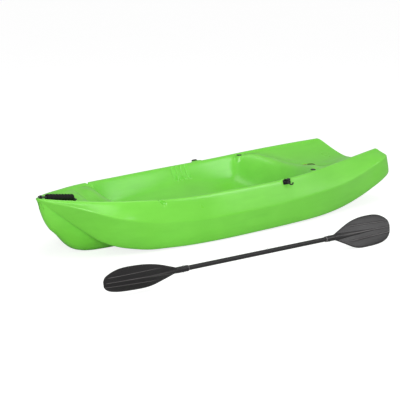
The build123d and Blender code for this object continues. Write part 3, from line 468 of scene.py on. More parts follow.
def inset(ring, depth):
    """A ring moved inwards in the transom's plane."""
    ahead, behind = np.roll(ring, -1, axis=0), np.roll(ring, 1, axis=0)
    run = unit(ahead - behind)
    rake = unit([TRANSOM_TOP[0] - TRANSOM_FOOT[0], 0, TRANSOM_TOP[1] - TRANSOM_FOOT[1]])
    facing = np.cross([0, 1, 0], rake)
    return ring + unit(np.cross(facing, run)) * depth


def transom_face(ring):
    """Faces across the stern's ring, from its outer line to the scoop of the deck."""
    around = len(ring)
    middle = (around + ROUNDING[0][1] - 1) // 2 + 1
    rim = int(np.argmax(ring[:middle, 2]))
    outer, inner = list(range(rim, 1, -1)), list(range(rim, middle))
    shares = []
    for line in (outer, inner):
        run = run_along(ring[line])
        shares.append(np.append(run / run[-1], 2))
    i = j = 0
    port = []
    while i < len(outer) - 1 or j < len(inner) - 1:
        if shares[0][i + 1] < shares[1][j + 1]:
            port.append((outer[i], outer[i + 1], inner[j]))
            i += 1
        else:
            port.append((outer[i], inner[j + 1], inner[j]))
            j += 1
    flip = ROUNDING[0][1] - 1
    starboard = [tuple((flip - v) % around for v in face) for face in port]
    across = (outer[-1], inner[-1], (flip - inner[-1]) % around, (flip - outer[-1]) % around)
    return [f for f in port + starboard if len(set(f)) == 3] + [across]


def transom_axes():
    """Directions up the transom and square to it, towards the bow, in side view (x, z)."""
    rake = unit([TRANSOM_TOP[0] - TRANSOM_FOOT[0], TRANSOM_TOP[1] - TRANSOM_FOOT[1]])
    return rake, np.array([rake[1], -rake[0]])


def stern_starts(corners):
    """Stations at which the lines of the outline's corners meet the transom."""
    start = np.full(corners, STERN_GUESS)
    for _ in range(STERN_ROUNDS):
        heights = [half_section(start[k:k + 1])[k][1][0] for k in range(corners)]
        start = transom_x(np.array(heights))
    return start


def control_outlines():
    """Control outlines of all sections, all the way round, and the rule of each corner."""
    nominal = stations()
    corners = len(ROUNDING)
    start = stern_starts(corners)
    tilt = np.clip(1 - (nominal - nominal[0]) / STERN_BLEND, 0, 1) ** 2
    half = []
    for k in range(corners):
        x = nominal + (start[k] - nominal[0]) * tilt
        y, z = half_section(x)[k]
        half.append(np.stack([x, y, z], axis=-1))
    mirror = [point * np.array([1, -1, 1]) for point in half[-2:0:-1]]
    back = [(ROUNDING[k][0], ROUNDING[k][1], ROUNDING[k - 1][2])
            for k in range(corners - 1, 0, -1)]
    return np.stack(half + mirror, axis=1), ROUNDING[:-1] + back


def round_stern(grid):
    """Rounds the top corner of the stern, in side view."""
    rake, ahead = transom_axes()
    centre_z = TRANSOM_TOP[1] - TRANSOM_CORNER
    centre_x = TRANSOM_TOP[0] + (TRANSOM_CORNER + ahead[1] * TRANSOM_CORNER) / ahead[0]
    u, v = grid[..., 0] - centre_x, grid[..., 2] - centre_z
    radius = np.hypot(u, v)
    over = (u < 0) & (v > u * -rake[0] / rake[1]) & (radius > TRANSOM_CORNER)
    pull = np.where(over, TRANSOM_CORNER / np.maximum(radius, 1), 1)
    grid[..., 0] = centre_x + u * pull
    grid[..., 2] = centre_z + v * pull


def transom_rings(last):
    """Rings of the soft edge all round the transom, from its flat face to the sides."""
    ahead = transom_axes()[1]
    astern = np.array([-ahead[0], 0, -ahead[1]])
    rings = []
    for angle in TRANSOM_EDGE_ANGLES:
        a = radians(angle)
        ring = inset(last, TRANSOM_EDGE * (1 - cos(a)))
        rings.append(ring - astern * TRANSOM_EDGE * (1 - sin(a)))
    return np.stack(rings)


def bow_rings(tip):
    """Rings that close the tip of the bow."""
    middle = tip.mean(axis=0)
    return np.stack([middle + (tip - middle) * scale + np.array([ahead, 0, 0])
                     for scale, ahead in BOW_CAPS])


def build_hull():
    """The moulded hull, one closed skin."""
    grid = rounded(*control_outlines())
    grid[..., 2] = np.maximum(grid[..., 2], 0)
    press_fingers(grid)
    press_notches(grid)
    press_seats(grid)
    round_stern(grid)
    grid = np.concatenate([transom_rings(grid[0]), grid[1:], bow_rings(grid[-1])])
    verts, faces = shell(grid, (False, True))
    faces += transom_face(grid[0])
    make("hull_skin", [(verts, faces)], "hull", "hull_plastic", ["hull"])


# ---------------------------------------------------------------- sweeps and turned parts
OFF_PATH = (0.31, 0.2, 1.0)     # directions that no path and no axis here follows
OFF_AXIS = (0.31, 1.0, 0.2)


def frames(path):
    """Two axes square to a path at each of its points, without twist."""
    tangent = unit(np.gradient(path, axis=0))
    axes = []
    axis = unit(np.cross(tangent[0], OFF_PATH))
    for t in tangent:
        axis = unit(axis - t * (axis @ t))
        axes.append((axis, np.cross(t, axis)))
    return np.array([a for a, b in axes]), np.array([b for a, b in axes])


def flowing(points, spacing):
    """Points along a smooth curve through the given ones."""
    points = np.array(points, float)
    ext = np.vstack([2 * points[0] - points[1], points, 2 * points[-1] - points[-2]])
    out = []
    for p0, p1, p2, p3 in zip(ext, ext[1:], ext[2:], ext[3:]):
        count = max(2, int(np.linalg.norm(p2 - p1) / spacing))
        for t in np.arange(count) / count:
            out.append(0.5 * (2 * p1 + (p2 - p0) * t + (2 * p0 - 5 * p1 + 4 * p2 - p3) * t ** 2
                              + (3 * p1 - p0 - 3 * p2 + p3) * t ** 3))
    return np.array(out + [points[-1]])


def swept(path, radius, around, ripple=None):
    """Rings round a path; the radius is one number or one for each point."""
    one, two = frames(path)
    angle = np.arange(around) * 2 * pi / around
    size = np.broadcast_to(np.asarray(radius, float), len(path))[:, None]
    size = np.repeat(size, around, axis=1)
    if ripple is not None:
        size = size * ripple(angle[None, :], run_along(path)[:, None])
    ring = one[:, None] * np.cos(angle)[:, None] + two[:, None] * np.sin(angle)[:, None]
    return path[:, None] + ring * size[..., None]


def domed(path, radius, around):
    """A swept rod with rounded ends."""
    run = run_along(path)
    near = np.minimum(run, run[-1] - run)
    size = np.sqrt(np.clip(1 - (1 - np.clip(near / radius, 0, 1)) ** 2, 0.004, None))
    return swept(path, radius * size, around)


def turned(origin, axis, profile, around=64):
    """Rings of a turned part: the profile is (distance along the axis, radius)."""
    axis = unit(axis)
    one = unit(np.cross(axis, OFF_AXIS))
    two = np.cross(axis, one)
    angle = np.arange(around) * 2 * pi / around
    ring = one * np.cos(angle)[:, None] + two * np.sin(angle)[:, None]
    along = np.array([a for a, r in profile])[:, None, None] * axis
    return np.array(origin) + along + ring * np.array([r for a, r in profile])[:, None, None]


def slab(origin, one, two, outline, thickness, edge):
    """Rings of a plate with rounded edges, from an outline in two axes."""
    up = np.cross(one, two)
    flat = np.array(outline, float)
    ahead, behind = np.roll(flat, -1, axis=0), np.roll(flat, 1, axis=0)
    run = unit(ahead - behind)
    inward = np.stack([-run[:, 1], run[:, 0]], axis=-1)
    rings = []
    for angle in (0, 30, 60, 90):
        a = radians(angle)
        rings.append((edge * (1 - sin(a)), edge * (1 - cos(a))))
    rings += [(inset_by, thickness - height) for inset_by, height in rings[::-1]]
    made = []
    for inset_by, height in rings:
        ring = flat + inward * inset_by
        made.append(origin + ring[:, :1] * one + ring[:, 1:] * two + height * up)
    return np.array(made)


def rounded_box(length, width, corner, steps=5):
    """Outline of a rectangle with round corners, anticlockwise."""
    points = []
    for quarter, (sx, sy) in enumerate(((1, 1), (-1, 1), (-1, -1), (1, -1))):
        for i in range(steps):
            a = pi / 2 * (quarter + i / (steps - 1))
            points.append((sx * (length / 2 - corner) + corner * cos(a),
                           sy * (width / 2 - corner) + corner * sin(a)))
    return points


# ---------------------------------------------------------------- carry handle
HANDLE_FRONT = np.array((897, 0, 246))
HANDLE_REAR = np.array((735.5, 0, 212))
GRIP_FRONT = np.array((880, 12, 244))
GRIP_REAR = np.array((751, 12, 224.5))
GRIP_RADIUS = 13
GRIP_WAVES = 9
GRIP_WAVE = 0.55            # depth of a wave, either way
GRIP_END = 2.6              # size of the rounding at the grip's ends
GRIP_DISH = ((1.5, 0), (0.4, 1))    # dished ends: inwards, and beyond the cord's radius
GRIP_STEPS = 150
CORD_RADIUS = 3
CORD_STRANDS = 4
CORD_TWIST = 0.9            # radians a strand turns in each millimetre
CORD_RELIEF = 0.05          # share of the radius that the strands stand out
CORD_STRAIGHT = 6           # the cord leaves an eye straight for this length
CORD_LEAD = 2               # and enters the grip straight, and is straight in it
CORD_HOLD = 8
KNOT_REACH = 8.0
KNOT_SIZE = (1.05, 1.05, 1.5)
KNOT_CORD = 1.9


def build_grip():
    """Grip with waves for the fingers, turned about the cord."""
    line = GRIP_REAR - GRIP_FRONT
    length = np.linalg.norm(line)
    profile = [(inwards, CORD_RADIUS + beyond) for inwards, beyond in GRIP_DISH]
    for at in np.linspace(0, 1, GRIP_STEPS) * length:
        wave = GRIP_WAVE * cos(2 * pi * GRIP_WAVES * at / length)
        near = min(at, length - at)
        end = GRIP_END * (1 - min(near / GRIP_END, 1)) ** 2
        profile.append((at, GRIP_RADIUS - GRIP_WAVE - wave - end))
    profile += [(length - inwards, CORD_RADIUS + beyond) for inwards, beyond in GRIP_DISH[::-1]]
    grip = shell(turned(GRIP_FRONT, line, profile, 56))
    make("handle_grip_waved", [grip], "handle", "grip_rubber", ["handle_grip"])


def braid(angle, run):
    """Ripple of a braided cord: strands that cross, winding both ways."""
    left = np.cos(CORD_STRANDS * angle - run * CORD_TWIST)
    right = np.cos(CORD_STRANDS * angle + run * CORD_TWIST)
    return 1 - CORD_RELIEF + CORD_RELIEF * np.maximum(left, right)


def build_cord():
    """Braided cord through the grip and both eyes, with a knot beyond each eye."""
    aft = unit(HANDLE_REAR - HANDLE_FRONT)
    grip_aft = unit(GRIP_REAR - GRIP_FRONT)
    knot_front = HANDLE_FRONT - aft * KNOT_REACH
    knot_rear = HANDLE_REAR + aft * KNOT_REACH
    path = flowing([knot_front, HANDLE_FRONT, HANDLE_FRONT + aft * CORD_STRAIGHT,
                    GRIP_FRONT - grip_aft * CORD_LEAD, GRIP_FRONT + grip_aft * CORD_HOLD,
                    GRIP_REAR - grip_aft * CORD_HOLD, GRIP_REAR + grip_aft * CORD_LEAD,
                    HANDLE_REAR - aft * CORD_STRAIGHT, HANDLE_REAR, knot_rear], 0.7)
    parts = [shell(swept(path, CORD_RADIUS, 32, braid))]
    turn = np.linspace(0, 2 * pi, 97)[:-1]
    trefoil = np.stack([np.sin(turn) + 2 * np.sin(2 * turn),
                        np.cos(turn) - 2 * np.cos(2 * turn), -np.sin(3 * turn)], axis=-1)
    for middle in (knot_front, knot_rear):
        loop = middle + trefoil * np.array(KNOT_SIZE)
        loop = np.vstack([loop, loop[:2]])
        parts.append(shell(swept(loop, KNOT_CORD, 12)))
    make("handle_cord_braided", parts, "handle", "cord", ["handle_cord"])


# ---------------------------------------------------------------- paddle keepers
KEEPER_CORNER = 7           # of the plate, and the roundings of the plate's and posts' edges
PLATE_EDGE = 0.9
POST_EDGE = 0.8
KEEPER_BAR = (8, 10)        # the bar's place, up the side and outboard of the hull
KEEPER_BAR_RADIUS = 2.5
KEEPER_RING = 4.5
KEEPER_POST = 9
KEEPER_POST_WIDTH = 5
POST_FLARE = ((1.5, 1.0), (0.3, 4.0))   # how much wider than its top a post is, and where
POST_SHOULDER = 2
HOOK_WIDTH = 10
HOOK_RADIUS = 2.8
HOOK_SPINE = [(0, 0, 0), (2, 14, 1), (8, 22, 4), (15, 22, 9), (17, 15, 12)]
HOOK_START = 0.27           # the hook grows out of its ring at this part of the first step
HOOK_GAP = 0.1
HOOK_BORE_EDGE = (0.5, 0.4)
HOOK_RING_EDGE = 0.8


def post_outline():
    """Side view of a post: flared at its foot and round about the bar."""
    bar_out = KEEPER_BAR[1]
    side = [(KEEPER_RING + wider, height) for wider, height in POST_FLARE]
    side.append((KEEPER_RING, bar_out - POST_SHOULDER))
    top = [(KEEPER_RING * cos(a), bar_out + KEEPER_RING * sin(a)) for a in np.linspace(0, pi, 13)]
    other = [(-across, height) for across, height in side[::-1]]
    return other[-1:] + side + top + other[:-1]


def hook_ring_profile():
    """Closed profile of the hook's ring about the bar."""
    half = HOOK_WIDTH / 2
    bore = KEEPER_BAR_RADIUS + HOOK_GAP
    in_by, out_by = HOOK_BORE_EDGE
    side = [(half - HOOK_RING_EDGE, KEEPER_RING), (half, KEEPER_RING - HOOK_RING_EDGE),
            (half, bore + out_by), (half - in_by, bore)]
    other = [(-along, radius) for along, radius in side[::-1]]
    return other + side + other[:1]


def build_keepers():
    """Screwed eye plates on the hull and the hooks that swing on their bars."""
    bar_up, bar_out = KEEPER_BAR
    for side, name in ((1, "port"), (-1, "starboard")):
        origin, along, up, out = keeper_seat(side)

        def at(x, y, z):
            return origin + x * along + y * up + z * out

        plate_outline = rounded_box(*KEEPER_PLATE[:2], KEEPER_CORNER)
        parts = [shell(slab(origin, along, up, plate_outline, KEEPER_PLATE[2], PLATE_EDGE))]
        for post in (KEEPER_POST, -KEEPER_POST):
            corner = at(post - KEEPER_POST_WIDTH / 2, bar_up, 0)
            parts.append(shell(slab(corner, up, out, post_outline(), KEEPER_POST_WIDTH,
                                    POST_EDGE)))
        bar = [(0, KEEPER_BAR_RADIUS), (2 * KEEPER_POST, KEEPER_BAR_RADIUS)]
        parts.append(shell(turned(at(-KEEPER_POST, bar_up, bar_out), along, bar, 24)))
        make(f"keeper_eye_{name}_moulded", parts, "hull", "fitting_plastic",
             [f"keeper_eye_{name}"])

        pivot = at(0, bar_up, bar_out)
        parts = [shell(turned(pivot, along, hook_ring_profile(), 32), (False, False))]
        spine = [at(side * x, bar_up - y, bar_out + z) for x, y, z in HOOK_SPINE]
        spine[0] = spine[0] + (spine[1] - spine[0]) * HOOK_START
        parts.append(shell(domed(flowing(spine, 0.5), HOOK_RADIUS, 20)))
        make(f"keeper_hook_{name}_moulded", parts, f"hook_{name}", "fitting_plastic",
             [f"keeper_hook_{name}"])


# ---------------------------------------------------------------- paddle blades
PADDLE_CENTRE = np.array((380, 669, 58))
PADDLE_YAW = 5
SHAFT_RADIUS = 9
NECK_AT = 385
BLADE_LENGTH = 322
BLADE_HALF_WIDTH = 62
BLADE_LEAN = 60
SOCKET_RADIUS = 11.5
SOCKET_LENGTH = 46
SPINE_LENGTH = 230
SPINE_TIP = 3
CAMBER = 9                  # how far the tip curves back, and the edges fall away
DIHEDRAL = 4
RIB_HEIGHT = 1.5
RIB_WIDTH = 1.8
RIBS = ((0.58, 0.40), (-0.50, -0.34))   # place across the blade at the neck and the tip
RIB_GROW = (0.2, 0.34)      # the ribs grow and end between these parts of the length
RIB_END = (0.93, 0.985)
MIDDLE_RIB = 0.9            # height of the middle rib, in ribs, and where it grows
MIDDLE_RIB_GROW = (0.3, 0.6)
PLATE_HALF = 1.9            # half the blade's thickness
EDGE_POWER = 9              # the higher, the squarer the blade's edge
TIP_ROUND = 3
SPINE_FADE = (0.72, 0.97)   # where the spine sinks into the blade, and how much it stands
SPINE_STAND = (0.35, 0.65)  # out: all along, and more at the neck
SPINE_BLEND = 4             # softness of the hollow between the spine and the blade
SHOULDER_PART = 0.3         # up to here the blade's edges flow into the spine
SHOULDER_BLEND = 6
SHOULDER_RATE = 20          # how fast that softness grows from the neck
# The socket's mouth: distance from its end and radius.
MOUTH = ((8, SHAFT_RADIUS + 0.1), (0.6, SHAFT_RADIUS + 0.1), (0, SHAFT_RADIUS + 0.6),
         (0, SOCKET_RADIUS - 0.9), (0.4, SOCKET_RADIUS - 0.3), (1, SOCKET_RADIUS))
BLADE_AROUND = 192
# Half-widths of the blade above and below its centreline, as fractions of its length
# and of its half width; the upper edge is the longer one.
UPPER_EDGE = [(0, 0.17), (0.15, 0.48), (0.3, 0.76), (0.5, 0.98), (0.7, 1.03), (0.85, 0.95),
              (0.95, 0.7), (1, 0.28)]
LOWER_EDGE = [(0, 0.17), (0.13, 0.52), (0.28, 0.9), (0.45, 1.02), (0.6, 1.01), (0.75, 0.94),
              (0.87, 0.75), (0.955, 0.38), (0.985, 0.05), (1, -0.28)]


def edge_line(edge, a):
    """Half-width at fractions of the length, round-ended at the tip."""
    turned_line = [(1 - (1 - at) ** 0.5, value) for at, value in edge]
    return BLADE_HALF_WIDTH * fair(turned_line, 1 - np.sqrt(np.clip(1 - a, 0, 1)))


def blade_places():
    """Distances of the blade's rings from its neck, closer together towards the tip."""
    q = np.concatenate([np.linspace(0, 0.9, 80), np.linspace(0.9, 1, 16)[1:]])
    return np.concatenate([np.arange(3 - SOCKET_LENGTH, 0, 4.0), BLADE_LENGTH * (1 - (1 - q) ** 2)])


def blade_ribs(part, b):
    """Height of the ribs across a section."""
    end = 1 - step(*RIB_END, part)
    ribs = MIDDLE_RIB * step(*MIDDLE_RIB_GROW, part) * np.exp(-(b / RIB_WIDTH) ** 2)
    for start, finish in RIBS:
        place = BLADE_HALF_WIDTH * (start + (finish - start) * part)
        ribs = ribs + step(*RIB_GROW, part) * np.exp(-((b - place) / RIB_WIDTH) ** 2)
    return RIB_HEIGHT * end * ribs


def blade_section(distance, c, s, back):
    """Section of socket and blade: across the blade, and square to it."""
    part = distance / BLADE_LENGTH
    thin = min(distance / SPINE_LENGTH, 1)
    spine_radius = SOCKET_RADIUS + (SPINE_TIP - SOCKET_RADIUS) * thin
    upper, lower = (float(edge_line(edge, part)) for edge in (UPPER_EDGE, LOWER_EDGE))
    if part < SHOULDER_PART:
        softness = SHOULDER_BLEND * min(part * SHOULDER_RATE, 1) + 0.01
        upper = float(soft_max(upper, spine_radius, softness))
        lower = float(soft_max(lower, spine_radius, softness))
    b = (upper - lower) / 2 + (upper + lower) / 2 * c
    closing = np.sqrt(np.clip(1 - abs(c) ** EDGE_POWER, 0, 1))
    tip_round = min(1, (1 - part) * BLADE_LENGTH / TIP_ROUND) ** 0.5
    plate = PLATE_HALF * closing * tip_round
    stand = SPINE_STAND[0] * (1 - step(*SPINE_FADE, part)) + SPINE_STAND[1] * (1 - thin)
    spine = np.sqrt(np.clip(spine_radius ** 2 - b ** 2, 0, None)) * stand * tip_round
    thick = soft_max(plate, spine, SPINE_BLEND * part ** 0.5 * closing * tip_round + 0.01)
    height = np.where(back, thick + blade_ribs(part, b) * closing, thick)
    drop = CAMBER * part ** 2 + DIHEDRAL * part ** 0.5 * (b / BLADE_HALF_WIDTH) ** 2
    return b, height * s, drop


def build_blade(sign, name, body):
    """A spooned blade with three ribs on its back, flowing into its socket."""
    yaw, lean = radians(PADDLE_YAW), radians(BLADE_LEAN)
    to_port = np.array((sin(yaw), cos(yaw), 0))
    away = np.array((cos(yaw), -sin(yaw), 0)) * sign
    edge_up = to_port * (sign * cos(lean)) + np.array((0, 0, sin(lean)))
    facing = np.cross(away, edge_up)
    neck = PADDLE_CENTRE + away * NECK_AT
    theta = (np.arange(BLADE_AROUND) + 0.5) * 2 * pi / BLADE_AROUND
    c, s = np.cos(theta), np.sign(np.sin(theta))
    circle = edge_up * c[:, None] + facing * np.sin(theta)[:, None]
    rings = [neck + away * (at - SOCKET_LENGTH) + radius * circle for at, radius in MOUTH]
    for at in blade_places():
        b, height, drop = blade_section(max(at, 0), c, s, s == -sign)
        n = height + sign * drop
        rings.append(neck + away * at + edge_up * b[:, None] + facing * n[:, None])
    blade = shell(np.array(rings))
    make(f"blade_{name}_spooned", [blade], body, "blade_plastic", [f"blade_{name}"])


# ---------------------------------------------------------------- materials
def linear(red, green, blue):
    """Linear colour of an 8-bit sRGB one."""
    made = []
    for value in (red, green, blue):
        v = value / 255
        made.append(v / 12.92 if v <= 0.04045 else ((v + 0.055) / 1.055) ** 2.4)
    return (*made, 1.0)


class Nodes:
    """A material's node tree, with short calls for the nodes used here."""

    def __init__(self, name):
        self.material = bpy.data.materials.new(name)
        self.material.use_nodes = True
        self.tree = self.material.node_tree
        self.shader = self.tree.nodes["Principled BSDF"]
        self.place = self.new("ShaderNodeTexCoord").outputs["Object"]

    def new(self, kind, **inputs):
        node = self.tree.nodes.new(kind)
        for key, value in inputs.items():
            self.put(node, key.replace("_", " "), value)
        return node

    def put(self, node, socket, value):
        if isinstance(value, bpy.types.NodeSocket):
            self.tree.links.new(value, node.inputs[socket])
        else:
            node.inputs[socket].default_value = value

    def stretched(self, scale, turn=(0, 0, 0)):
        node = self.new("ShaderNodeMapping", Vector=self.place, Scale=scale)
        node.inputs["Rotation"].default_value = [radians(a) for a in turn]
        return node.outputs["Vector"]

    def noise(self, scale, detail=3.0, place=None, rough=0.5):
        node = self.new("ShaderNodeTexNoise", Vector=place or self.place, Scale=scale,
                        Detail=detail, Roughness=rough)
        return node.outputs["Fac"]

    def ramp(self, value, low, high, at_low=0.0, at_high=1.0):
        node = self.new("ShaderNodeMapRange", Value=value)
        for socket, number in (("From Min", low), ("From Max", high),
                               ("To Min", at_low), ("To Max", at_high)):
            node.inputs[socket].default_value = number
        return node.outputs["Result"]

    def mix(self, share, one, two):
        node = self.tree.nodes.new("ShaderNodeMix")
        node.data_type = "RGBA"
        self.put(node, 0, share)
        self.put(node, 6, one)
        self.put(node, 7, two)
        return node.outputs[2]

    def math(self, kind, one, two):
        node = self.tree.nodes.new("ShaderNodeMath")
        node.operation = kind
        self.put(node, 0, one)
        self.put(node, 1, two)
        return node.outputs[0]

    def bumps(self, *layers):
        """Chain of bumps, each (height, strength, distance in m)."""
        normal = None
        for height, strength, distance in layers:
            node = self.new("ShaderNodeBump", Height=height, Strength=strength,
                            Distance=distance)
            if normal is not None:
                self.tree.links.new(normal, node.inputs["Normal"])
            normal = node.outputs["Normal"]
        self.tree.links.new(normal, self.shader.inputs["Normal"])

    def surface(self, color, roughness, metallic=0.0, **more):
        self.put(self.shader, "Base Color", color)
        self.put(self.shader, "Roughness", roughness)
        self.put(self.shader, "Metallic", metallic)
        for key, value in more.items():
            self.put(self.shader, key.replace("_", " "), value)
        return self.material

    def edges(self, low, high):
        """1 on convex edges, 0 elsewhere; the materials lighten these edges as a painted highlight.
        """
        point = self.tree.nodes.new("ShaderNodeNewGeometry").outputs["Pointiness"]
        return self.ramp(point, low, high)


def hull_plastic():
    """Blow-moulded polyethylene: faint flow mottling, orange peel, soft sheen."""
    n = Nodes("hull_plastic")
    cloud = n.noise(5.0, 4.0)
    flow = n.noise(22.0, 3.0, n.stretched((0.35, 1.0, 1.6)))
    color = n.mix(n.ramp(cloud, 0.35, 0.65), linear(120, 219, 62), linear(126, 225, 70))
    color = n.mix(n.ramp(flow, 0.4, 0.75, 0.0, 0.5), color, linear(114, 213, 58))
    # painted highlight: convex edges such as the knuckle are lightened to a pale green
    color = n.mix(n.math("MULTIPLY", n.edges(0.505, 0.56), 0.35), color, linear(150, 240, 100))
    peel = n.noise(420.0, 2.0)
    grain = n.noise(2600.0, 2.0)
    scuffs = n.ramp(n.noise(60.0, 8.0, n.stretched((0.15, 1.0, 1.0)), 0.7), 0.62, 0.72)
    rough = n.math("ADD", n.ramp(cloud, 0.3, 0.7, 0.27, 0.34),
                   n.math("MULTIPLY", scuffs, 0.14))
    n.bumps((cloud, 0.05, 0.002), (peel, 0.10, 0.0004), (grain, 0.06, 0.0001))
    return n.surface(color, rough, Specular_IOR_Level=0.75, Subsurface_Weight=0.06,
                     Subsurface_Radius=(0.004, 0.008, 0.002), Subsurface_Scale=1.0)


def moulded(name, color, lighter, rough, grain_scale=1500.0, peel=0.12):
    """Injection-moulded plastic: spark-eroded grain, paler along its edges as a painted highlight.
    """
    n = Nodes(name)
    grain = n.noise(grain_scale, 3.0)
    patch = n.noise(30.0, 3.0)
    mixed = n.mix(n.ramp(patch, 0.35, 0.7, 0.0, 0.6), color, lighter)
    # painted highlight: convex edges are lightened towards the lighter colour
    mixed = n.mix(n.math("MULTIPLY", n.edges(0.52, 0.62), 0.5), mixed, lighter)
    n.bumps((n.noise(300.0, 2.0), 0.06, 0.0004), (grain, peel, 0.00012))
    return n.surface(mixed, n.ramp(patch, 0.3, 0.7, rough - 0.04, rough + 0.05))


def blade_plastic():
    """Glass-filled polypropylene: fine grain, flow marks along the blade, and a painted highlight
    on its edges and the crests of its ribs.
    """
    n = Nodes("blade_plastic")
    flow = n.noise(40.0, 5.0, n.stretched((0.12, 1.0, 1.0), (0, 0, PADDLE_YAW)))
    grain = n.noise(1800.0, 3.0)
    fibre = n.noise(700.0, 2.0, n.stretched((0.1, 1.0, 1.0), (0, 0, PADDLE_YAW)))
    color = n.mix(n.ramp(flow, 0.35, 0.7), linear(20, 19, 20), linear(29, 27, 28))
    # painted highlight: the blade's edges and rib crests are lightened towards pale grey
    color = n.mix(n.math("MULTIPLY", n.edges(0.506, 0.55), 0.75), color, linear(150, 146, 146))
    n.bumps((flow, 0.05, 0.001), (fibre, 0.08, 0.0002), (grain, 0.14, 0.00012))
    return n.surface(color, n.ramp(flow, 0.3, 0.7, 0.38, 0.47))


def shaft_aluminium():
    """Drawn and black-coated tube: fine draw lines along it and a satin coat."""
    n = Nodes("shaft_aluminium")
    draw = n.noise(900.0, 3.0, n.stretched((0.012, 1.0, 1.0), (0, 0, PADDLE_YAW)))
    patch = n.noise(18.0, 4.0)
    color = n.mix(n.ramp(draw, 0.4, 0.7), linear(16, 16, 17), linear(24, 23, 24))
    # painted highlight: convex edges are lightened towards mid grey
    color = n.mix(n.math("MULTIPLY", n.edges(0.55, 0.7), 0.4), color, linear(84, 83, 84))
    n.bumps((draw, 0.10, 0.0001), (n.noise(1400.0), 0.05, 0.0001))
    return n.surface(color, n.ramp(patch, 0.3, 0.7, 0.38, 0.48), 0.1,
                     Specular_IOR_Level=0.25)


def grip_rubber():
    """Soft grip rubber: open-cell pitting, dusty in random patches."""
    n = Nodes("grip_rubber")
    pits = n.new("ShaderNodeTexVoronoi", Vector=n.place, Scale=900.0).outputs["Distance"]
    dust = n.noise(160.0, 4.0)
    color = n.mix(n.ramp(dust, 0.45, 0.75, 0.0, 0.5), linear(15, 15, 15), linear(34, 34, 33))
    n.bumps((pits, 0.35, 0.0003), (dust, 0.1, 0.0004))
    return n.surface(color, n.ramp(dust, 0.3, 0.7, 0.72, 0.86), Specular_IOR_Level=0.3)


def cord():
    """Braided polyester: crossing strands with a little sheen."""
    n = Nodes("cord")
    one = n.new("ShaderNodeTexWave", Vector=n.stretched((1, 1, 1), (0, 0, 38)), Scale=260.0)
    two = n.new("ShaderNodeTexWave", Vector=n.stretched((1, 1, 1), (0, 0, -38)), Scale=260.0)
    strands = n.math("MAXIMUM", one.outputs["Fac"], two.outputs["Fac"])
    fuzz = n.noise(3000.0, 3.0)
    color = n.mix(strands, linear(10, 10, 11), linear(38, 38, 40))
    n.bumps((strands, 0.5, 0.0003), (fuzz, 0.3, 0.0001))
    return n.surface(color, 0.7, Sheen_Weight=0.3, Sheen_Roughness=0.5)


def metal(name, color, rough, lines):
    """Machined stainless steel: turning marks and faint smears."""
    n = Nodes(name)
    marks = n.new("ShaderNodeTexWave", Vector=n.place, Scale=lines, Distortion=1.5,
                  Detail=3.0).outputs["Fac"]
    smear = n.noise(90.0, 4.0)
    n.bumps((marks, 0.08, 0.00005), (n.noise(2200.0), 0.08, 0.00005))
    shade = n.mix(n.ramp(smear, 0.4, 0.75, 0.0, 0.5), color,
                  tuple(0.7 * c for c in color[:3]) + (1.0,))
    return n.surface(shade, n.ramp(smear, 0.3, 0.7, rough, rough + 0.12), 1.0)


def seal_rubber():
    """Moulded seal: smooth black rubber with a fine bloom."""
    n = Nodes("seal_rubber")
    bloom = n.noise(120.0, 5.0)
    color = n.mix(n.ramp(bloom, 0.45, 0.8), linear(20, 20, 20), linear(46, 46, 45))
    n.bumps((bloom, 0.05, 0.0004), (n.noise(1600.0), 0.12, 0.0001))
    return n.surface(color, n.ramp(bloom, 0.3, 0.7, 0.55, 0.7))


MATERIALS = {
    "hull_plastic": hull_plastic(),
    "fitting_plastic": moulded("fitting_plastic", linear(14, 16, 14), linear(34, 36, 34), 0.42),
    "grip_rubber": grip_rubber(),
    "cord": cord(),
    "bezel_plastic": moulded("bezel_plastic", linear(176, 152, 56), linear(196, 172, 78), 0.45),
    "drain_plastic": moulded("drain_plastic", linear(70, 74, 36), linear(92, 96, 52), 0.45),
    "seal_rubber": seal_rubber(),
    "steel": metal("steel", linear(196, 196, 200), 0.28, 900.0),
    "black_steel": metal("black_steel", linear(34, 34, 35), 0.38, 900.0),
    "spring_steel": metal("spring_steel", linear(176, 178, 184), 0.32, 700.0),
    "shaft_aluminium": shaft_aluminium(),
    "blade_plastic": blade_plastic(),
}


# ---------------------------------------------------------------- pieces
build_hull()
build_grip()
build_cord()
build_keepers()
build_blade(1, "bow", "paddle_bow_half")
build_blade(-1, "stern", "paddle_stern_half")

for node in frame["record"]["subparts"]:
    carried = frame["nodes"][node["node"]]
    if not carried.hide_render:
        carried.data.materials.clear()
        carried.data.materials.append(MATERIALS[node["material_slot"]])


# ---------------------------------------------------------------- floor, light, camera
FLOOR_HALF = 30.0
FLOOR_GLOW = 0.80           # the floor's own light to the camera, which keeps it white
FLOOR_SHADE = 0.42          # how much of the floor's paleness the lamps and shadows make
FLOOR_BOUNCE = 0.55         # the share of light it throws back at the hull
SKY_SEEN = 1.0
SKY_LIGHT = 0.42


def camera_share(tree):
    """1 for what the camera sees directly, 0 for reflected light."""
    return tree.nodes.new("ShaderNodeLightPath").outputs["Is Camera Ray"]


def floor_white():
    """White studio floor with faint shadows, throwing back less light than it shows."""
    n = Nodes("floor_white")
    seen = camera_share(n.tree)
    clouds = n.ramp(n.noise(1.5, 2.0), 0.3, 0.7, 0.985, 1.0)
    grey = n.mix(seen, (FLOOR_BOUNCE, FLOOR_BOUNCE, FLOOR_BOUNCE, 1.0),
                 (FLOOR_SHADE, FLOOR_SHADE, FLOOR_SHADE, 1.0))
    tone = n.mix(clouds, (0.0, 0.0, 0.0, 1.0), grey)
    return n.surface(tone, 0.9, Specular_IOR_Level=0.1, Emission_Color=(1, 1, 1, 1),
                     Emission_Strength=n.math("MULTIPLY", seen, FLOOR_GLOW))


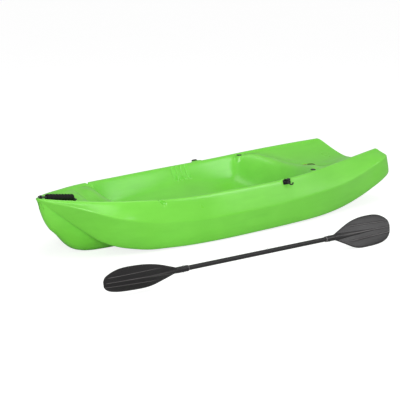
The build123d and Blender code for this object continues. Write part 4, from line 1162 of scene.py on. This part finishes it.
floor_mesh = bpy.data.meshes.new("floor")
corners = [(x * FLOOR_HALF, y * FLOOR_HALF, 0) for x, y in ((-1, -1), (1, -1), (1, 1), (-1, 1))]
floor_mesh.from_pydata(corners, [], [(0, 1, 2, 3)])
floor = bpy.data.objects.new("floor", floor_mesh)
bpy.context.scene.collection.objects.link(floor)
floor_mesh.materials.append(floor_white())

world = bpy.data.worlds.new("studio")
world.use_nodes = True
sky = world.node_tree
background = sky.nodes["Background"]
background.inputs["Color"].default_value = (1, 1, 1, 1)
strength = sky.nodes.new("ShaderNodeMapRange")
strength.inputs["To Min"].default_value = SKY_LIGHT
strength.inputs["To Max"].default_value = SKY_SEEN
sky.links.new(camera_share(sky), strength.inputs["Value"])
sky.links.new(strength.outputs["Result"], background.inputs["Strength"])
bpy.context.scene.world = world


def area_light(name, place, target, size, watts):
    """Soft square light aimed at a point."""
    data = bpy.data.lights.new(name, "AREA")
    data.size = size
    data.energy = watts
    lamp = bpy.data.objects.new(name, data)
    lamp.location = place
    lamp.rotation_mode = "QUATERNION"
    lamp.rotation_quaternion = (Vector(target) - Vector(place)).to_track_quat("-Z", "Y")
    bpy.context.scene.collection.objects.link(lamp)


area_light("overhead", (0.2, 0.4, 3.6), (0, 0, 0.1), 3.0, 40)
area_light("camera_side", (3.0, 3.4, 1.0), (0.1, 0, 0.1), 1.6, 95)
area_light("stern_side", (-2.4, 3.0, 1.9), (0, 0.7, 0.05), 1.5, 30)

CAMERA_TARGET = Vector((0, 0, 0.1))
CAMERA_AZIMUTH = radians(136.6)
CAMERA_ELEVATION = radians(12.6)
CAMERA_DISTANCE = 6.0
back = Vector((sin(CAMERA_AZIMUTH) * cos(CAMERA_ELEVATION),
               -cos(CAMERA_AZIMUTH) * cos(CAMERA_ELEVATION), sin(CAMERA_ELEVATION)))
camera_data = bpy.data.cameras.new("camera")
camera_data.lens = 126
camera_data.sensor_width = 36
camera_data.shift_x = -0.0264
camera_data.shift_y = -0.0025
camera = bpy.data.objects.new("camera", camera_data)
camera.location = CAMERA_TARGET + back * CAMERA_DISTANCE
camera.rotation_mode = "QUATERNION"
camera.rotation_quaternion = (-back).to_track_quat("-Z", "Y")
bpy.context.scene.collection.objects.link(camera)
bpy.context.scene.camera = camera
bpy.context.scene.view_settings.view_transform = "Standard"
